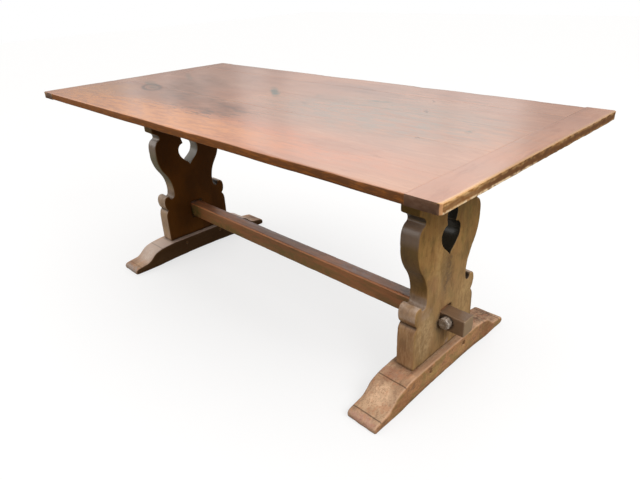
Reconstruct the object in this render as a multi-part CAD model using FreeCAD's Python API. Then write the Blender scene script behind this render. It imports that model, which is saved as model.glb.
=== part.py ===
import FreeCAD, Part
import math
import os

# Trestle dining table. Millimetres, +Z up, X along the top, Y across it, origin on the floor at the
# table's centre. The right-hand trestle stands at +X, the left-hand one at -X.

# ---- the table as a whole
TABLE_HEIGHT = 760.0
TOP_LENGTH = 1838.0
TOP_WIDTH = 866.0
TOP_THICKNESS = 24.0
TRESTLE_SPACING = 1318.0          # centre of one trestle to centre of the other

# ---- boards of the top
FRONT_BOARD_WIDTH = 123.0
REAR_BOARD_WIDTH = 138.0
INNER_BOARDS = ["inner_front", "middle", "inner_rear"]     # these share what the outer two leave
SEAM_CHAMFER = 0.8                # along the top edges of every board seam
EDGE_BEVEL = 2.5                  # worn arris round the outside of the top
CORNER_ROUND = 9.0                # the four corners of the top, seen from above

# ---- breadboard ends, which hold the boards flat on a tongue
END_BOARD_WIDTH = 82.0
TONGUE_LENGTH = 30.0
TONGUE_THICKNESS = 8.0
TONGUE_STOP = 26.0                # the tongue stops this far short of the long edges
GROOVE_ROOM = 1.0                 # space past the end of the tongue
END_PEG_DIAMETER = 9.0
END_PEG_SKIN = 5.0                # wood left above each peg, which is driven from below

# ---- bearers under the top
BEARER_LENGTH = 760.0
BEARER_WIDTH = 76.0
BEARER_DEPTH = 70.0
BEARER_TIP_DEPTH = 23.0
BEARER_TAPER = 130.0              # length of the tapered part at each end

# ---- upright: one plank, its outline sawn; heights from the foot's top or down from the bearer
UPRIGHT_WIDTH = 314.0
UPRIGHT_THICKNESS = 64.0
SHOULDER_START = 112.0
LOWER_CUSP = (143.0, 145.5)       # half width, height above the foot
KNOB_SIDE = (156.5, 178.0)
KNOB_TOP = (138.0, 208.0)
NOTCH_WALL = (125.0, 202.0)
NOTCH_FLOOR = (117.5, 193.0)
WAIST = (102.5, 226.0)
EAR_SIDE = (156.0, 192.0)         # half width, depth below the upright's top
EAR_SHOULDER = (143.0, 132.5)
NECK = (127.5, 119.0)
CAPITAL_HEIGHT = 91.0
UPRIGHT_ARRIS = 3.0               # worn arris along the sawn outline

# ---- pierced opening in the upright: half width, depth below the upright's top
OPENING_TIP = 260.0
OPENING_TURN = (26.0, 231.0)
OPENING_SIDE = (46.5, 190.0)
OPENING_CUSP = (20.0, 162.0)
OPENING_LOBE_RADIUS = 26.0
OPENING_LOBE_DEPTH = 134.0

# ---- foot
FOOT_LENGTH = 708.0
FOOT_WIDTH = 106.0
FOOT_HEIGHT = 84.0
TOE_HEIGHT = 24.0
TOE_NOSE = 4.0                    # how far the rounded nose stands out past the sole
TOE_CURL = 14.0                   # length and rise of the curl over the nose
TOE_CURL_RISE = 3.0
TONGUE_RISE = 33.0                # height of the flat toe where the curve starts
TOE_LENGTH = 54.0                 # end of the foot to the start of the curve
OGEE_LENGTH = 95.0
OGEE_TURN = (37.0, 55.0)          # past the start of the curve, and above the floor
OGEE_TOP = 78.0
SWELL_LENGTH = 85.0               # gentle rise from the curve to the level top
SOLE_PAD = 114.0                  # length of each flat pad that meets the floor
SOLE_ARCH = 8.0
FOOT_ARRIS = 4.0                  # worn arris along the top of the foot
GROOVE_WIDTH = 2.6
GROOVE_DEPTH = 2.2
TOE_GROOVE_PLACE = 27.0           # end of the foot to the first incised line
HEEL_GROOVE_PLACE = 139.0         # end of the foot to the second one

# ---- joints between upright, foot and bearer
UPRIGHT_TENON_THICKNESS = 26.0
FOOT_TENON_WIDTH = 250.0
FOOT_TENON_LENGTH = 50.0
FOOT_PEG_DIAMETER = 12.0
FOOT_PEG_PLACE = 92.0             # from the centre line
FOOT_PEG_HEIGHT = 60.0
BEARER_TENON_WIDTH = 160.0
BEARER_TENON_LENGTH = 44.0
BEARER_PEG_DIAMETER = 10.0
BEARER_PEG_PLACE = 50.0
BEARER_PEG_RISE = 22.0            # above the bearer's underside
PEG_SIDES = 8
MORTISE_ROOM = 1.0                # space past the end of each blind tenon
CHEEK_GAP = 0.2                   # each side of a tenon in its mortise
PEG_GAP = 0.05                    # round each drive peg

# ---- stretcher, which passes through both uprights
STRETCHER_WIDTH = 52.0
STRETCHER_HEIGHT = 62.0
STRETCHER_UNDERSIDE = 165.0       # above the floor
STRETCHER_CHAMFER = 3.5
CHAMFER_STOP = 45.0               # plain length left beside each upright
TENON_STEP = 5.0                  # shoulder under the tenon, which bears on the upright
TENON_OUT = 79.0                  # tenon past the upright's outer face
TENON_ARRIS = 2.0
MORTISE_SIDE_GAP = 4.0            # each side of the through tenon
MORTISE_TOP_GAP = 7.0
MORTISE_CORNER = 9.0

# ---- tusk pegs, which lock the through tenons
TUSK_HEAD = 37.0                  # across flats
TUSK_TAIL = 28.0
TUSK_LENGTH = 96.0
TUSK_OUT = 18.0                   # head past the tenon's side
TUSK_SIDES = 8
TUSK_BEVEL = 5.0
TUSK_GAP = 0.25                   # all round the peg, and to the upright's face
TUSK_ABOVE_TENON_FLOOR = 30.0     # peg's axis above the tenon's underside

# ---- screws up through the bearers into the boards
SCREW_LENGTH = 45.0
SCREW_BITE = 16.0
SCREW_SHANK = 5.0
SCREW_HEAD = 9.5
SCREW_HEAD_HEIGHT = 3.0
SCREW_POCKET = 12.0
SCREW_GAP = 0.1
SCREW_END_PLACE = 40.0            # from the bearer's end to its outermost screw
SCREW_WALL = 6.0                  # wood between the mortise and the pockets beside it

# ---- sizes that follow from those above
TOP_UNDERSIDE = TABLE_HEIGHT - TOP_THICKNESS
UPRIGHT_TOP = TOP_UNDERSIDE - BEARER_DEPTH
TRESTLE_X = TRESTLE_SPACING / 2
UPRIGHT_INNER_X = TRESTLE_X - UPRIGHT_THICKNESS / 2
UPRIGHT_OUTER_X = TRESTLE_X + UPRIGHT_THICKNESS / 2
SEAM_X = TOP_LENGTH / 2 - END_BOARD_WIDTH
TENON_FLOOR = STRETCHER_UNDERSIDE + TENON_STEP
STRETCHER_TOP = STRETCHER_UNDERSIDE + STRETCHER_HEIGHT
TUSK_X = UPRIGHT_OUTER_X + TUSK_HEAD / 2 + TUSK_GAP
TUSK_Z = TENON_FLOOR + TUSK_ABOVE_TENON_FLOOR
SIDES = {"right": 1, "left": -1}


def vec(x, y, z):
    return FreeCAD.Vector(x, y, z)


def box(x0, x1, y0, y1, z0, z1):
    """Block between two corners."""
    return Part.makeBox(x1 - x0, y1 - y0, z1 - z0, vec(x0, y0, z0))


def flat_face(corners):
    return Part.Face(Part.makePolygon(corners + corners[:1]))


def arc(start, heading, end):
    """Arc that sets off along heading and ends at end, or a straight edge where heading leads there."""
    chord = end - start
    along = FreeCAD.Vector(chord).normalize()
    aside = heading - along * heading.dot(along)
    if aside.Length < 1e-6:
        return Part.LineSegment(start, end).toShape()
    rise = chord.Length / 2 * math.tan(heading.getAngle(along) / 2)
    return Part.Arc(start, (start + end) / 2 + aside.normalize() * rise, end).toShape()


def edges_through(points):
    """The straight edge between two points, or the curve that four lead.

    The curve is two arcs that flow into each other. It sets off from the first point towards the second, and
    arrives at the last from the third."""
    start, end = points[0], points[-1]
    if len(points) == 2:
        return [Part.LineSegment(start, end).toShape()]
    setting_off = (points[1] - start).normalize()
    arriving = (end - points[2]).normalize()
    span = end - start
    ahead = span.dot(setting_off + arriving)
    turn = 1 - setting_off.dot(arriving)
    if turn < 1e-9:
        lead = span.dot(span) / (2 * ahead)
    else:
        lead = (math.sqrt(ahead ** 2 + 2 * turn * span.dot(span)) - ahead) / (2 * turn)
    first, second = start + setting_off * lead, end - arriving * lead
    meeting = (first + second) / 2
    return [arc(start, setting_off, meeting), arc(meeting, (second - first).normalize(), end)]


def across(outline, x):
    """The outline's (y, z) points as vectors in the plane at x."""
    return [[vec(x, y, z) for y, z in stretch] for stretch in outline]


def mirrored(half):
    """A half outline, from centre line to centre line, with its mirror image after it."""
    other = [[(-y, z) for y, z in reversed(stretch)] for stretch in reversed(half)]
    return half + other


def plate(outline, x_centre, thickness):
    """Solid with the closed (y, z) outline, as thick as given along X."""
    stretches = across(outline, x_centre - thickness / 2)
    edges = [e for points in stretches for e in edges_through(points)]
    return Part.Face(Part.Wire(edges)).extrude(vec(thickness, 0, 0))


def bore(start, direction, length, peg_diameter):
    """Round bore for a drive peg."""
    return Part.makeCylinder(peg_diameter / 2 + PEG_GAP, length, start, direction)


def drive_peg(start, direction, length, diameter):
    """Riven peg with eight flat sides, which grips a round bore with its corners."""
    corners = []
    for i in range(PEG_SIDES):
        angle = 2 * math.pi * i / PEG_SIDES
        corners.append(vec(diameter / 2 * math.cos(angle), diameter / 2 * math.sin(angle), 0))
    peg = flat_face(corners).extrude(vec(0, 0, length))
    peg.Placement = FreeCAD.Placement(start, FreeCAD.Rotation(vec(0, 0, 1), direction))
    return peg


def fused(shapes):
    whole = shapes[0].multiFuse(shapes[1:]) if len(shapes) > 1 else shapes[0]
    return whole.removeSplitter()


def cut_all(shape, tools):
    """The shape less all the tools, as one tidy solid."""
    done = shape
    for tool in tools:
        done = done.cut(tool)
    return done.removeSplitter().Solids[0]


def turned(shape, side):
    """A right-hand part, or its mirror image at the left-hand end."""
    return shape if side > 0 else shape.mirror(vec(0, 0, 0), vec(1, 0, 0)).Solids[0]


def group(shapes):
    """Like separate pieces that share one node."""
    return Part.makeCompound(shapes)


# ---- the top

def board_edges():
    """Y of every seam between boards, with the two long edges of the top."""
    inner = (TOP_WIDTH - FRONT_BOARD_WIDTH - REAR_BOARD_WIDTH) / len(INNER_BOARDS)
    front = -TOP_WIDTH / 2 + FRONT_BOARD_WIDTH
    seams = [front + inner * i for i in range(len(INNER_BOARDS) + 1)]
    return [-TOP_WIDTH / 2] + seams + [TOP_WIDTH / 2]


def along_x_at(e, y, z):
    """True for a straight edge along X at that y and z."""
    spans = abs(e.Vertexes[-1].X - e.Vertexes[0].X) > 1
    return spans and all(abs(v.Y - y) < 1e-6 and abs(v.Z - z) < 1e-6 for v in e.Vertexes)


def seam_prism(y, z_edge, length):
    """Small prism that takes the arris off a seam edge along X."""
    c = SEAM_CHAMFER
    x = -length / 2
    corners = [vec(x, y - c, z_edge), vec(x, y, z_edge - c), vec(x, y + c, z_edge)]
    return flat_face(corners).extrude(vec(length, 0, 0))


def tongue_span(y0, y1):
    """Y span of a tongue on a board, stopped short of the top's long edges."""
    limit = TOP_WIDTH / 2 - TONGUE_STOP
    return max(y0, -limit), min(y1, limit)


def tongue_z():
    middle = TOP_UNDERSIDE + TOP_THICKNESS / 2
    return middle - TONGUE_THICKNESS / 2, middle + TONGUE_THICKNESS / 2


def end_pegs(make):
    """What make gives for the pegs up through both breadboard ends, one in each inner board's tongue."""
    x = SEAM_X + TONGUE_LENGTH / 2
    seams = board_edges()[1:-1]
    places = [vec(sx, (y0 + y1) / 2, TOP_UNDERSIDE) for y0, y1 in zip(seams, seams[1:]) for sx in (x, -x)]
    return [make(place, vec(0, 0, 1), TOP_THICKNESS - END_PEG_SKIN, END_PEG_DIAMETER) for place in places]


def screw_places():
    """Y of the screws in each bearer: near its ends, in the next boards, and beside its mortise."""
    edges = board_edges()
    end = BEARER_LENGTH / 2 - SCREW_END_PLACE
    beside = BEARER_TENON_WIDTH / 2 + CHEEK_GAP + SCREW_WALL + SCREW_POCKET / 2
    return [-end, (edges[1] + edges[2]) / 2, -beside, beside, (edges[-3] + edges[-2]) / 2, end]


def top_board(y0, y1):
    """One board of the top, with a tongue on each end."""
    board = box(-SEAM_X, SEAM_X, y0, y1, TOP_UNDERSIDE, TABLE_HEIGHT)
    t0, t1 = tongue_span(y0, y1)
    z0, z1 = tongue_z()
    board = board.fuse(box(-SEAM_X - TONGUE_LENGTH, SEAM_X + TONGUE_LENGTH, t0, t1, z0, z1)).removeSplitter()
    outer = [e for e in board.Edges for y in (y0, y1) for z in (TOP_UNDERSIDE, TABLE_HEIGHT)
             if abs(y) > TOP_WIDTH / 2 - 1e-6 and along_x_at(e, y, z)]
    if outer:
        board = board.makeChamfer(EDGE_BEVEL, outer)
    seams = [seam_prism(y, TABLE_HEIGHT, 2 * SEAM_X) for y in board_edges()[1:-1]]
    holes = [Part.makeCylinder(SCREW_SHANK / 2 + SCREW_GAP, SCREW_BITE + SCREW_GAP,
                               vec(sx * TRESTLE_X, y, TOP_UNDERSIDE))
             for y in screw_places() for sx in (1, -1)]
    return cut_all(board, seams + holes + end_pegs(bore))


def breadboard_end():
    """The right-hand breadboard end: a cross board with a stopped groove for the tongues."""
    x0, x1 = SEAM_X, TOP_LENGTH / 2
    w = TOP_WIDTH / 2
    end = box(x0, x1, -w, w, TOP_UNDERSIDE, TABLE_HEIGHT)
    corner = [e for e in end.Edges if all(v.X > x1 - 1e-6 for v in e.Vertexes)
              and abs(e.Vertexes[0].Z - e.Vertexes[-1].Z) > 1]
    end = end.makeFillet(CORNER_ROUND, corner)
    rim = [e for e in end.Edges if e.BoundBox.XMax > x0 + 1 and e.BoundBox.ZLength < 1e-6
           and not (e.BoundBox.XMin < x0 + 1e-6 and e.BoundBox.XMax < x0 + 1e-6)]
    end = end.makeChamfer(EDGE_BEVEL, rim)
    z0, z1 = tongue_z()
    stop = w - TONGUE_STOP
    groove = box(x0 - 1, x0 + TONGUE_LENGTH + GROOVE_ROOM, -stop, stop, z0, z1)
    return cut_all(end, [groove] + end_pegs(bore))


# ---- the trestles

def upright_half_outline():
    """Right half of the upright's outline, from the foot's top up to the bearer, as (y, z)."""
    def up(point):
        return point[0], FOOT_HEIGHT + point[1]

    def down(point):
        return point[0], UPRIGHT_TOP - point[1]

    half = UPRIGHT_WIDTH / 2
    foot_line = (half, FOOT_HEIGHT)
    shoulder = (half, FOOT_HEIGHT + SHOULDER_START)
    cusp, knob, knob_top = up(LOWER_CUSP), up(KNOB_SIDE), up(KNOB_TOP)
    wall, floor, waist = up(NOTCH_WALL), up(NOTCH_FLOOR), up(WAIST)
    ear, ear_top, neck = down(EAR_SIDE), down(EAR_SHOULDER), down(NECK)
    capital = (half, UPRIGHT_TOP - CAPITAL_HEIGHT)
    shoulder_rise = cusp[1] - shoulder[1]
    swing = ear[1] - waist[1]
    return [
        [(0.0, FOOT_HEIGHT), foot_line],
        [foot_line, shoulder],
        [shoulder, (half, shoulder[1] + shoulder_rise * 0.45),
         (cusp[0] + 9, cusp[1] - shoulder_rise * 0.2), cusp],
        [cusp, (cusp[0] + 9, cusp[1] + 5), (knob[0], knob[1] - 16), knob],
        [knob, (knob[0], knob[1] + 17), (knob_top[0] + 9, knob_top[1]), knob_top],
        [knob_top, (knob_top[0] - 7, knob_top[1]), (wall[0], wall[1] + 3), wall],
        [wall, (wall[0], floor[1] + 2), (floor[0] + 4, floor[1]), floor],
        [floor, (floor[0] - 8, floor[1]), (waist[0], waist[1] - 14), waist],
        [waist, (waist[0], waist[1] + swing * 0.42), (ear[0], ear[1] - swing * 0.45), ear],
        [ear, (ear[0], ear[1] + 32), (ear_top[0] + 8, ear_top[1] - 9), ear_top],
        [ear_top, (ear_top[0] - 6.4, ear_top[1] + 7.2), (neck[0], neck[1] - 5), neck],
        [neck, (neck[0], neck[1] + 17), (capital[0] - 8, capital[1] - 5), capital],
        [capital, (half, UPRIGHT_TOP)],
        [(half, UPRIGHT_TOP), (0.0, UPRIGHT_TOP)],
    ]


def opening_half_outline():
    """Right half of the pierced opening: a pointed drop under a round lobe, as (y, z)."""
    def down(point):
        return point[0], UPRIGHT_TOP - point[1]

    tip = (0.0, UPRIGHT_TOP - OPENING_TIP)
    turn, side, cusp = down(OPENING_TURN), down(OPENING_SIDE), down(OPENING_CUSP)
    r = OPENING_LOBE_RADIUS
    lobe_side = down((r, OPENING_LOBE_DEPTH))
    lobe_top = (0.0, lobe_side[1] + r)
    lead = r * 0.552               # makes the curve a quarter of a circle
    return [
        [tip, (7.0, tip[1] + 23), (turn[0] - 11, turn[1] - 10), turn],
        [turn, (turn[0] + 11, turn[1] + 10), (side[0], side[1] - 39), side],
        [side, (side[0], side[1] + 17), (cusp[0] + 15, cusp[1] - 1), cusp],
        [cusp, (cusp[0] + 2, cusp[1] + 9), (lobe_side[0], lobe_side[1] - 12), lobe_side],
        [lobe_side, (r, lobe_side[1] + lead), (lead, lobe_top[1]), lobe_top],
    ]


def stretcher_mortise():
    """Through mortise for the stretcher's tenon, round-cornered at its top, with a level floor."""
    half = STRETCHER_WIDTH / 2 + MORTISE_SIDE_GAP
    top = STRETCHER_TOP + MORTISE_TOP_GAP
    r = MORTISE_CORNER
    lead = r * 0.552
    half_outline = [
        [(0.0, TENON_FLOOR), (half, TENON_FLOOR)],
        [(half, TENON_FLOOR), (half, top - r)],
        [(half, top - r), (half, top - r + lead), (half - r + lead, top), (half - r, top)],
        [(half - r, top), (0.0, top)],
    ]
    return plate(mirrored(half_outline), TRESTLE_X, 2 * UPRIGHT_THICKNESS)


def foot_pegs(make):
    """What make gives for the two pegs through foot and upright."""
    x = TRESTLE_X - FOOT_WIDTH / 2
    return [make(vec(x, y, FOOT_PEG_HEIGHT), vec(1, 0, 0), FOOT_WIDTH, FOOT_PEG_DIAMETER)
            for y in (-FOOT_PEG_PLACE, FOOT_PEG_PLACE)]


def bearer_pegs(make):
    """What make gives for the two pegs through bearer and upright."""
    x = TRESTLE_X - BEARER_WIDTH / 2
    z = UPRIGHT_TOP + BEARER_PEG_RISE
    return [make(vec(x, y, z), vec(1, 0, 0), BEARER_WIDTH, BEARER_PEG_DIAMETER)
            for y in (-BEARER_PEG_PLACE, BEARER_PEG_PLACE)]


def rim_of(solid, inside):
    """The edges round both faces of a plank that stands across X, where inside(centre) is true."""
    return [e for e in solid.Edges if e.BoundBox.XLength < 1e-6 and inside(e.CenterOfMass)]


def upright_blank():
    """The sawn plank with its pierced opening, its outline worn except where it meets foot and bearer."""
    body = plate(mirrored(upright_half_outline()), TRESTLE_X, UPRIGHT_THICKNESS)
    outline = rim_of(body, lambda centre: FOOT_HEIGHT + 1 < centre.z < UPRIGHT_TOP - 1)
    body = body.makeChamfer(UPRIGHT_ARRIS, outline)
    return body.cut(plate(mirrored(opening_half_outline()), TRESTLE_X, 2 * UPRIGHT_THICKNESS))


def upright():
    """The right-hand upright, with a tenon for the foot and one for the bearer."""
    t = UPRIGHT_TENON_THICKNESS / 2
    w = FOOT_TENON_WIDTH / 2
    lower = box(TRESTLE_X - t, TRESTLE_X + t, -w, w, FOOT_HEIGHT - FOOT_TENON_LENGTH, FOOT_HEIGHT)
    w = BEARER_TENON_WIDTH / 2
    upper = box(TRESTLE_X - t, TRESTLE_X + t, -w, w, UPRIGHT_TOP, UPRIGHT_TOP + BEARER_TENON_LENGTH)
    bores = foot_pegs(bore) + bearer_pegs(bore)
    return cut_all(fused([upright_blank(), lower, upper]), [stretcher_mortise()] + bores)


def foot_half_outline():
    """Right half of the foot's side view, from the sole's centre round the toe to the top's centre."""
    end = FOOT_LENGTH / 2
    sole_end = end - TOE_NOSE
    pad_start = end - SOLE_PAD
    nose = (end, TOE_HEIGHT / 2)
    toe_front = (end - TOE_CURL, TOE_HEIGHT + TOE_CURL_RISE)
    toe_back = (end - TOE_LENGTH, TONGUE_RISE)
    turn = (toe_back[0] - OGEE_TURN[0], OGEE_TURN[1])
    curve_top = (toe_back[0] - OGEE_LENGTH, OGEE_TOP)
    level = (curve_top[0] - SWELL_LENGTH, FOOT_HEIGHT)
    tongue = (toe_front[0] - toe_back[0], toe_back[1] - toe_front[1])
    swell = (SWELL_LENGTH, 2 * (FOOT_HEIGHT - OGEE_TOP))
    lean = (sole_end + 2 * TOE_NOSE, nose[1] - TOE_NOSE ** 2 / nose[1])     # makes the nose one round arc

    def on(point, heading):
        """The point a little further along the heading, which leads a curve out of or into a point."""
        return point[0] - heading[0], point[1] + heading[1]

    def back(point, heading):
        return point[0] + heading[0], point[1] - heading[1]

    return [
        [(0.0, SOLE_ARCH), (pad_start / 2, SOLE_ARCH), (pad_start * 0.8, SOLE_ARCH / 2), (pad_start, 0.0)],
        [(pad_start, 0.0), (sole_end, 0.0)],
        [(sole_end, 0.0), lean, (end, 0.0), nose],
        [nose, (end, TOE_HEIGHT), back(toe_front, tongue), toe_front],
        [toe_front, toe_back],
        [toe_back, on(toe_back, tongue), back(turn, (1, 1)), turn],
        [turn, on(turn, (1, 1)), back(curve_top, swell), curve_top],
        [curve_top, on(curve_top, swell), back(level, (1, 0)), level],
        [level, (0.0, FOOT_HEIGHT)],
    ]


def incised_line(y, z, slope):
    """Small V-shaped tool, across the foot, for a line cut square to the surface there."""
    w, d = GROOVE_WIDTH / 2, GROOVE_DEPTH
    x = TRESTLE_X - FOOT_WIDTH
    points = [vec(x, -w, d), vec(x, w, d), vec(x, w, 0), vec(x, 0, -d), vec(x, -w, 0)]
    tool = flat_face(points).extrude(vec(2 * FOOT_WIDTH, 0, 0))
    tool.rotate(vec(0, 0, 0), vec(1, 0, 0), math.degrees(math.atan(slope)))
    tool.translate(vec(0, y, z))
    return tool


def surface_point(face_height_at, y):
    """Height and slope of the foot's top at y."""
    step = 0.5
    rise = face_height_at(y + step) - face_height_at(y - step)
    return face_height_at(y), rise / (2 * step)


def foot_blank():
    return plate(mirrored(foot_half_outline()), TRESTLE_X, FOOT_WIDTH)


def foot():
    """The right-hand foot: an ogee at each end, an arched sole and a mortise for the upright."""
    blank = foot_blank()

    def height_at(y):
        ray = Part.LineSegment(vec(TRESTLE_X, y, -1), vec(TRESTLE_X, y, 2 * FOOT_HEIGHT)).toShape()
        return ray.common(blank).BoundBox.ZMax

    grooves = []
    for place in (TOE_GROOVE_PLACE, HEEL_GROOVE_PLACE):
        for sy in (-1, 1):
            y = sy * (FOOT_LENGTH / 2 - place)
            z, slope = surface_point(height_at, y)
            grooves.append(incised_line(y, z, slope))
    blank = blank.makeChamfer(FOOT_ARRIS, rim_of(blank, lambda centre: centre.z > TOE_NOSE))
    t = UPRIGHT_TENON_THICKNESS / 2 + CHEEK_GAP
    w = FOOT_TENON_WIDTH / 2 + CHEEK_GAP
    floor = FOOT_HEIGHT - FOOT_TENON_LENGTH - MORTISE_ROOM
    mortise = box(TRESTLE_X - t, TRESTLE_X + t, -w, w, floor, FOOT_HEIGHT + 1)
    return cut_all(blank, [mortise] + grooves + foot_pegs(bore))


def bearer_half_outline():
    end = BEARER_LENGTH / 2
    taper = end - BEARER_TAPER
    tip = TOP_UNDERSIDE - BEARER_TIP_DEPTH
    drop = tip - UPRIGHT_TOP
    return [
        [(0.0, UPRIGHT_TOP), (taper, UPRIGHT_TOP)],
        [(taper, UPRIGHT_TOP), (taper + BEARER_TAPER * 0.35, UPRIGHT_TOP + drop * 0.12),
         (taper + BEARER_TAPER * 0.7, UPRIGHT_TOP + drop * 0.6), (end, tip)],
        [(end, tip), (end, TOP_UNDERSIDE)],
        [(end, TOP_UNDERSIDE), (0.0, TOP_UNDERSIDE)],
    ]


def screw_seat():
    """Height of the underside of every screw head."""
    return TOP_UNDERSIDE - (SCREW_LENGTH - SCREW_BITE)


def bearer():
    """The right-hand bearer, with pockets for its screws and a mortise for the upright."""
    body = plate(mirrored(bearer_half_outline()), TRESTLE_X, BEARER_WIDTH)
    t = UPRIGHT_TENON_THICKNESS / 2 + CHEEK_GAP
    w = BEARER_TENON_WIDTH / 2 + CHEEK_GAP
    ceiling = UPRIGHT_TOP + BEARER_TENON_LENGTH + MORTISE_ROOM
    mortise = box(TRESTLE_X - t, TRESTLE_X + t, -w, w, UPRIGHT_TOP - 1, ceiling)
    holes = []
    for y in screw_places():
        foot_of_pocket = vec(TRESTLE_X, y, UPRIGHT_TOP - 1)
        holes.append(Part.makeCylinder(SCREW_POCKET / 2, screw_seat() - UPRIGHT_TOP + 1, foot_of_pocket))
        holes.append(Part.makeCylinder(SCREW_SHANK / 2 + SCREW_GAP, BEARER_DEPTH + 2, foot_of_pocket))
    return cut_all(body, [mortise] + holes + bearer_pegs(bore))


def screw(y):
    """Plain round screw, its head down in the bearer's pocket and its end in a board."""
    r, head = SCREW_SHANK / 2, SCREW_HEAD / 2
    seat = screw_seat()
    low = seat - SCREW_HEAD_HEIGHT
    tip = TOP_UNDERSIDE + SCREW_BITE
    half = [(0, low), (head, low), (head, seat), (r, seat), (r, tip), (0, tip)]
    solid = flat_face([vec(x, 0, z) for x, z in half]).revolve(vec(0, 0, 0), vec(0, 0, 1), 360)
    solid.translate(vec(TRESTLE_X, y, 0))
    return solid


# ---- stretcher and tusk pegs

def chamfered_section(x):
    """The stretcher's section with its four arrises taken off, as a face at x."""
    w, c = STRETCHER_WIDTH / 2, STRETCHER_CHAMFER
    z0, z1 = STRETCHER_UNDERSIDE, STRETCHER_TOP
    corners = [(-w + c, z0), (w - c, z0), (w, z0 + c), (w, z1 - c),
               (w - c, z1), (-w + c, z1), (-w, z1 - c), (-w, z0 + c)]
    return flat_face([vec(x, y, z) for y, z in corners])


def tusk_section(y, across_flats, grow):
    """Corners of the tusk peg's section at y, grown outwards by grow."""
    radius = (across_flats / 2 + grow) / math.cos(math.pi / TUSK_SIDES)
    points = []
    for i in range(TUSK_SIDES):
        angle = (i + 0.5) * 2 * math.pi / TUSK_SIDES
        points.append(vec(TUSK_X + radius * math.cos(angle), y, TUSK_Z + radius * math.sin(angle)))
    return points


def flat_sided(sections):
    """Solid through sections with parallel sides, such as the tusk peg's, every face of it flat."""
    faces = [flat_face(sections[0]), flat_face(sections[-1][::-1])]
    for near, far in zip(sections, sections[1:]):
        for i in range(len(near)):
            faces.append(flat_face([near[i - 1], far[i - 1], far[i], near[i]]))
    return Part.Solid(Part.Shell(faces))


def tusk_flats(y):
    """The peg's size across flats at y: it tapers from the head at the front to the tail."""
    head_y = -STRETCHER_WIDTH / 2 - TUSK_OUT
    return TUSK_HEAD + (TUSK_TAIL - TUSK_HEAD) * (y - head_y) / TUSK_LENGTH


def tusk_taper(y0, y1, grow):
    return flat_sided([tusk_section(y, tusk_flats(y), grow) for y in (y0, y1)])


def tusk_peg():
    """The right-hand tusk peg: eight-sided and tapered, with both ends bevelled."""
    y0 = -STRETCHER_WIDTH / 2 - TUSK_OUT
    y1 = y0 + TUSK_LENGTH
    b = TUSK_BEVEL
    rings = [(y0, tusk_flats(y0) - 2 * b), (y0 + b * 0.7, tusk_flats(y0 + b * 0.7)),
             (y1 - b * 0.7, tusk_flats(y1 - b * 0.7)), (y1, tusk_flats(y1) - 2 * b)]
    return flat_sided([tusk_section(y, flats, 0) for y, flats in rings])


def stretcher():
    """Long rail with chamfered arrises and a through tenon, bored for a tusk peg, at each end."""
    w = STRETCHER_WIDTH / 2
    inner = UPRIGHT_INNER_X
    tip = UPRIGHT_OUTER_X + TENON_OUT
    rail = box(-inner, inner, -w, w, STRETCHER_UNDERSIDE, STRETCHER_TOP)
    tenon = box(-tip, tip, -w, w, TENON_FLOOR, STRETCHER_TOP)
    ends = [e for e in tenon.Edges if abs(abs(e.CenterOfMass.x) - tip) < 1e-6]
    bar = fused([rail, tenon.makeChamfer(TENON_ARRIS, ends)])
    reach = inner - CHAMFER_STOP
    plain = box(-reach, reach, -w - 1, w + 1, STRETCHER_UNDERSIDE - 1, STRETCHER_TOP + 1)
    core = chamfered_section(-reach).extrude(vec(2 * reach, 0, 0))
    tusk_bore = tusk_taper(-w - 1, w + 1, TUSK_GAP)
    return cut_all(bar, [plain.cut(core), tusk_bore, turned(tusk_bore, -1)])


# ---- write every node

def parts():
    names = ["front"] + INNER_BOARDS + ["rear"]
    edges = board_edges()
    made = {}
    for name, y0, y1 in zip(names, edges, edges[1:]):
        made["top_board_" + name] = top_board(y0, y1)
    made["stretcher"] = stretcher()
    paired = {
        "breadboard_end": [breadboard_end()],
        "breadboard_pegs": [peg for peg in end_pegs(drive_peg) if peg.CenterOfMass.x > 0],
        "bearer": [bearer()],
        "bearer_joint_pegs": bearer_pegs(drive_peg),
        "top_screws": [screw(y) for y in screw_places()],
        "upright": [upright()],
        "foot": [foot()],
        "foot_joint_pegs": foot_pegs(drive_peg),
        "tusk_peg": [tusk_peg()],
    }
    for name, solids in paired.items():
        for label, side in SIDES.items():
            pieces = [turned(solid, side) for solid in solids]
            made[name + "_" + label] = pieces[0] if len(pieces) == 1 else group(pieces)
    return made


os.makedirs("parts", exist_ok=True)
for node, shape in parts().items():
    shape.exportStep("parts/" + node + ".step")
    print(node, len(shape.Solids), "solid(s)", "valid" if shape.isValid() else "NOT VALID",
          round(shape.Volume / 1000, 1), "cm3")
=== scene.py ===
"""Dresses a trestle dining table in old, waxed and hand-worn wood.

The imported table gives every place. The boards of the top, the uprights, the feet, the stretcher and the
tusk pegs are made again here as worn surfaces in the same places, and all the joinery gets its finish.
"""

import math

import bmesh
import bpy
import numpy as np
from mathutils import Matrix, Vector


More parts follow.
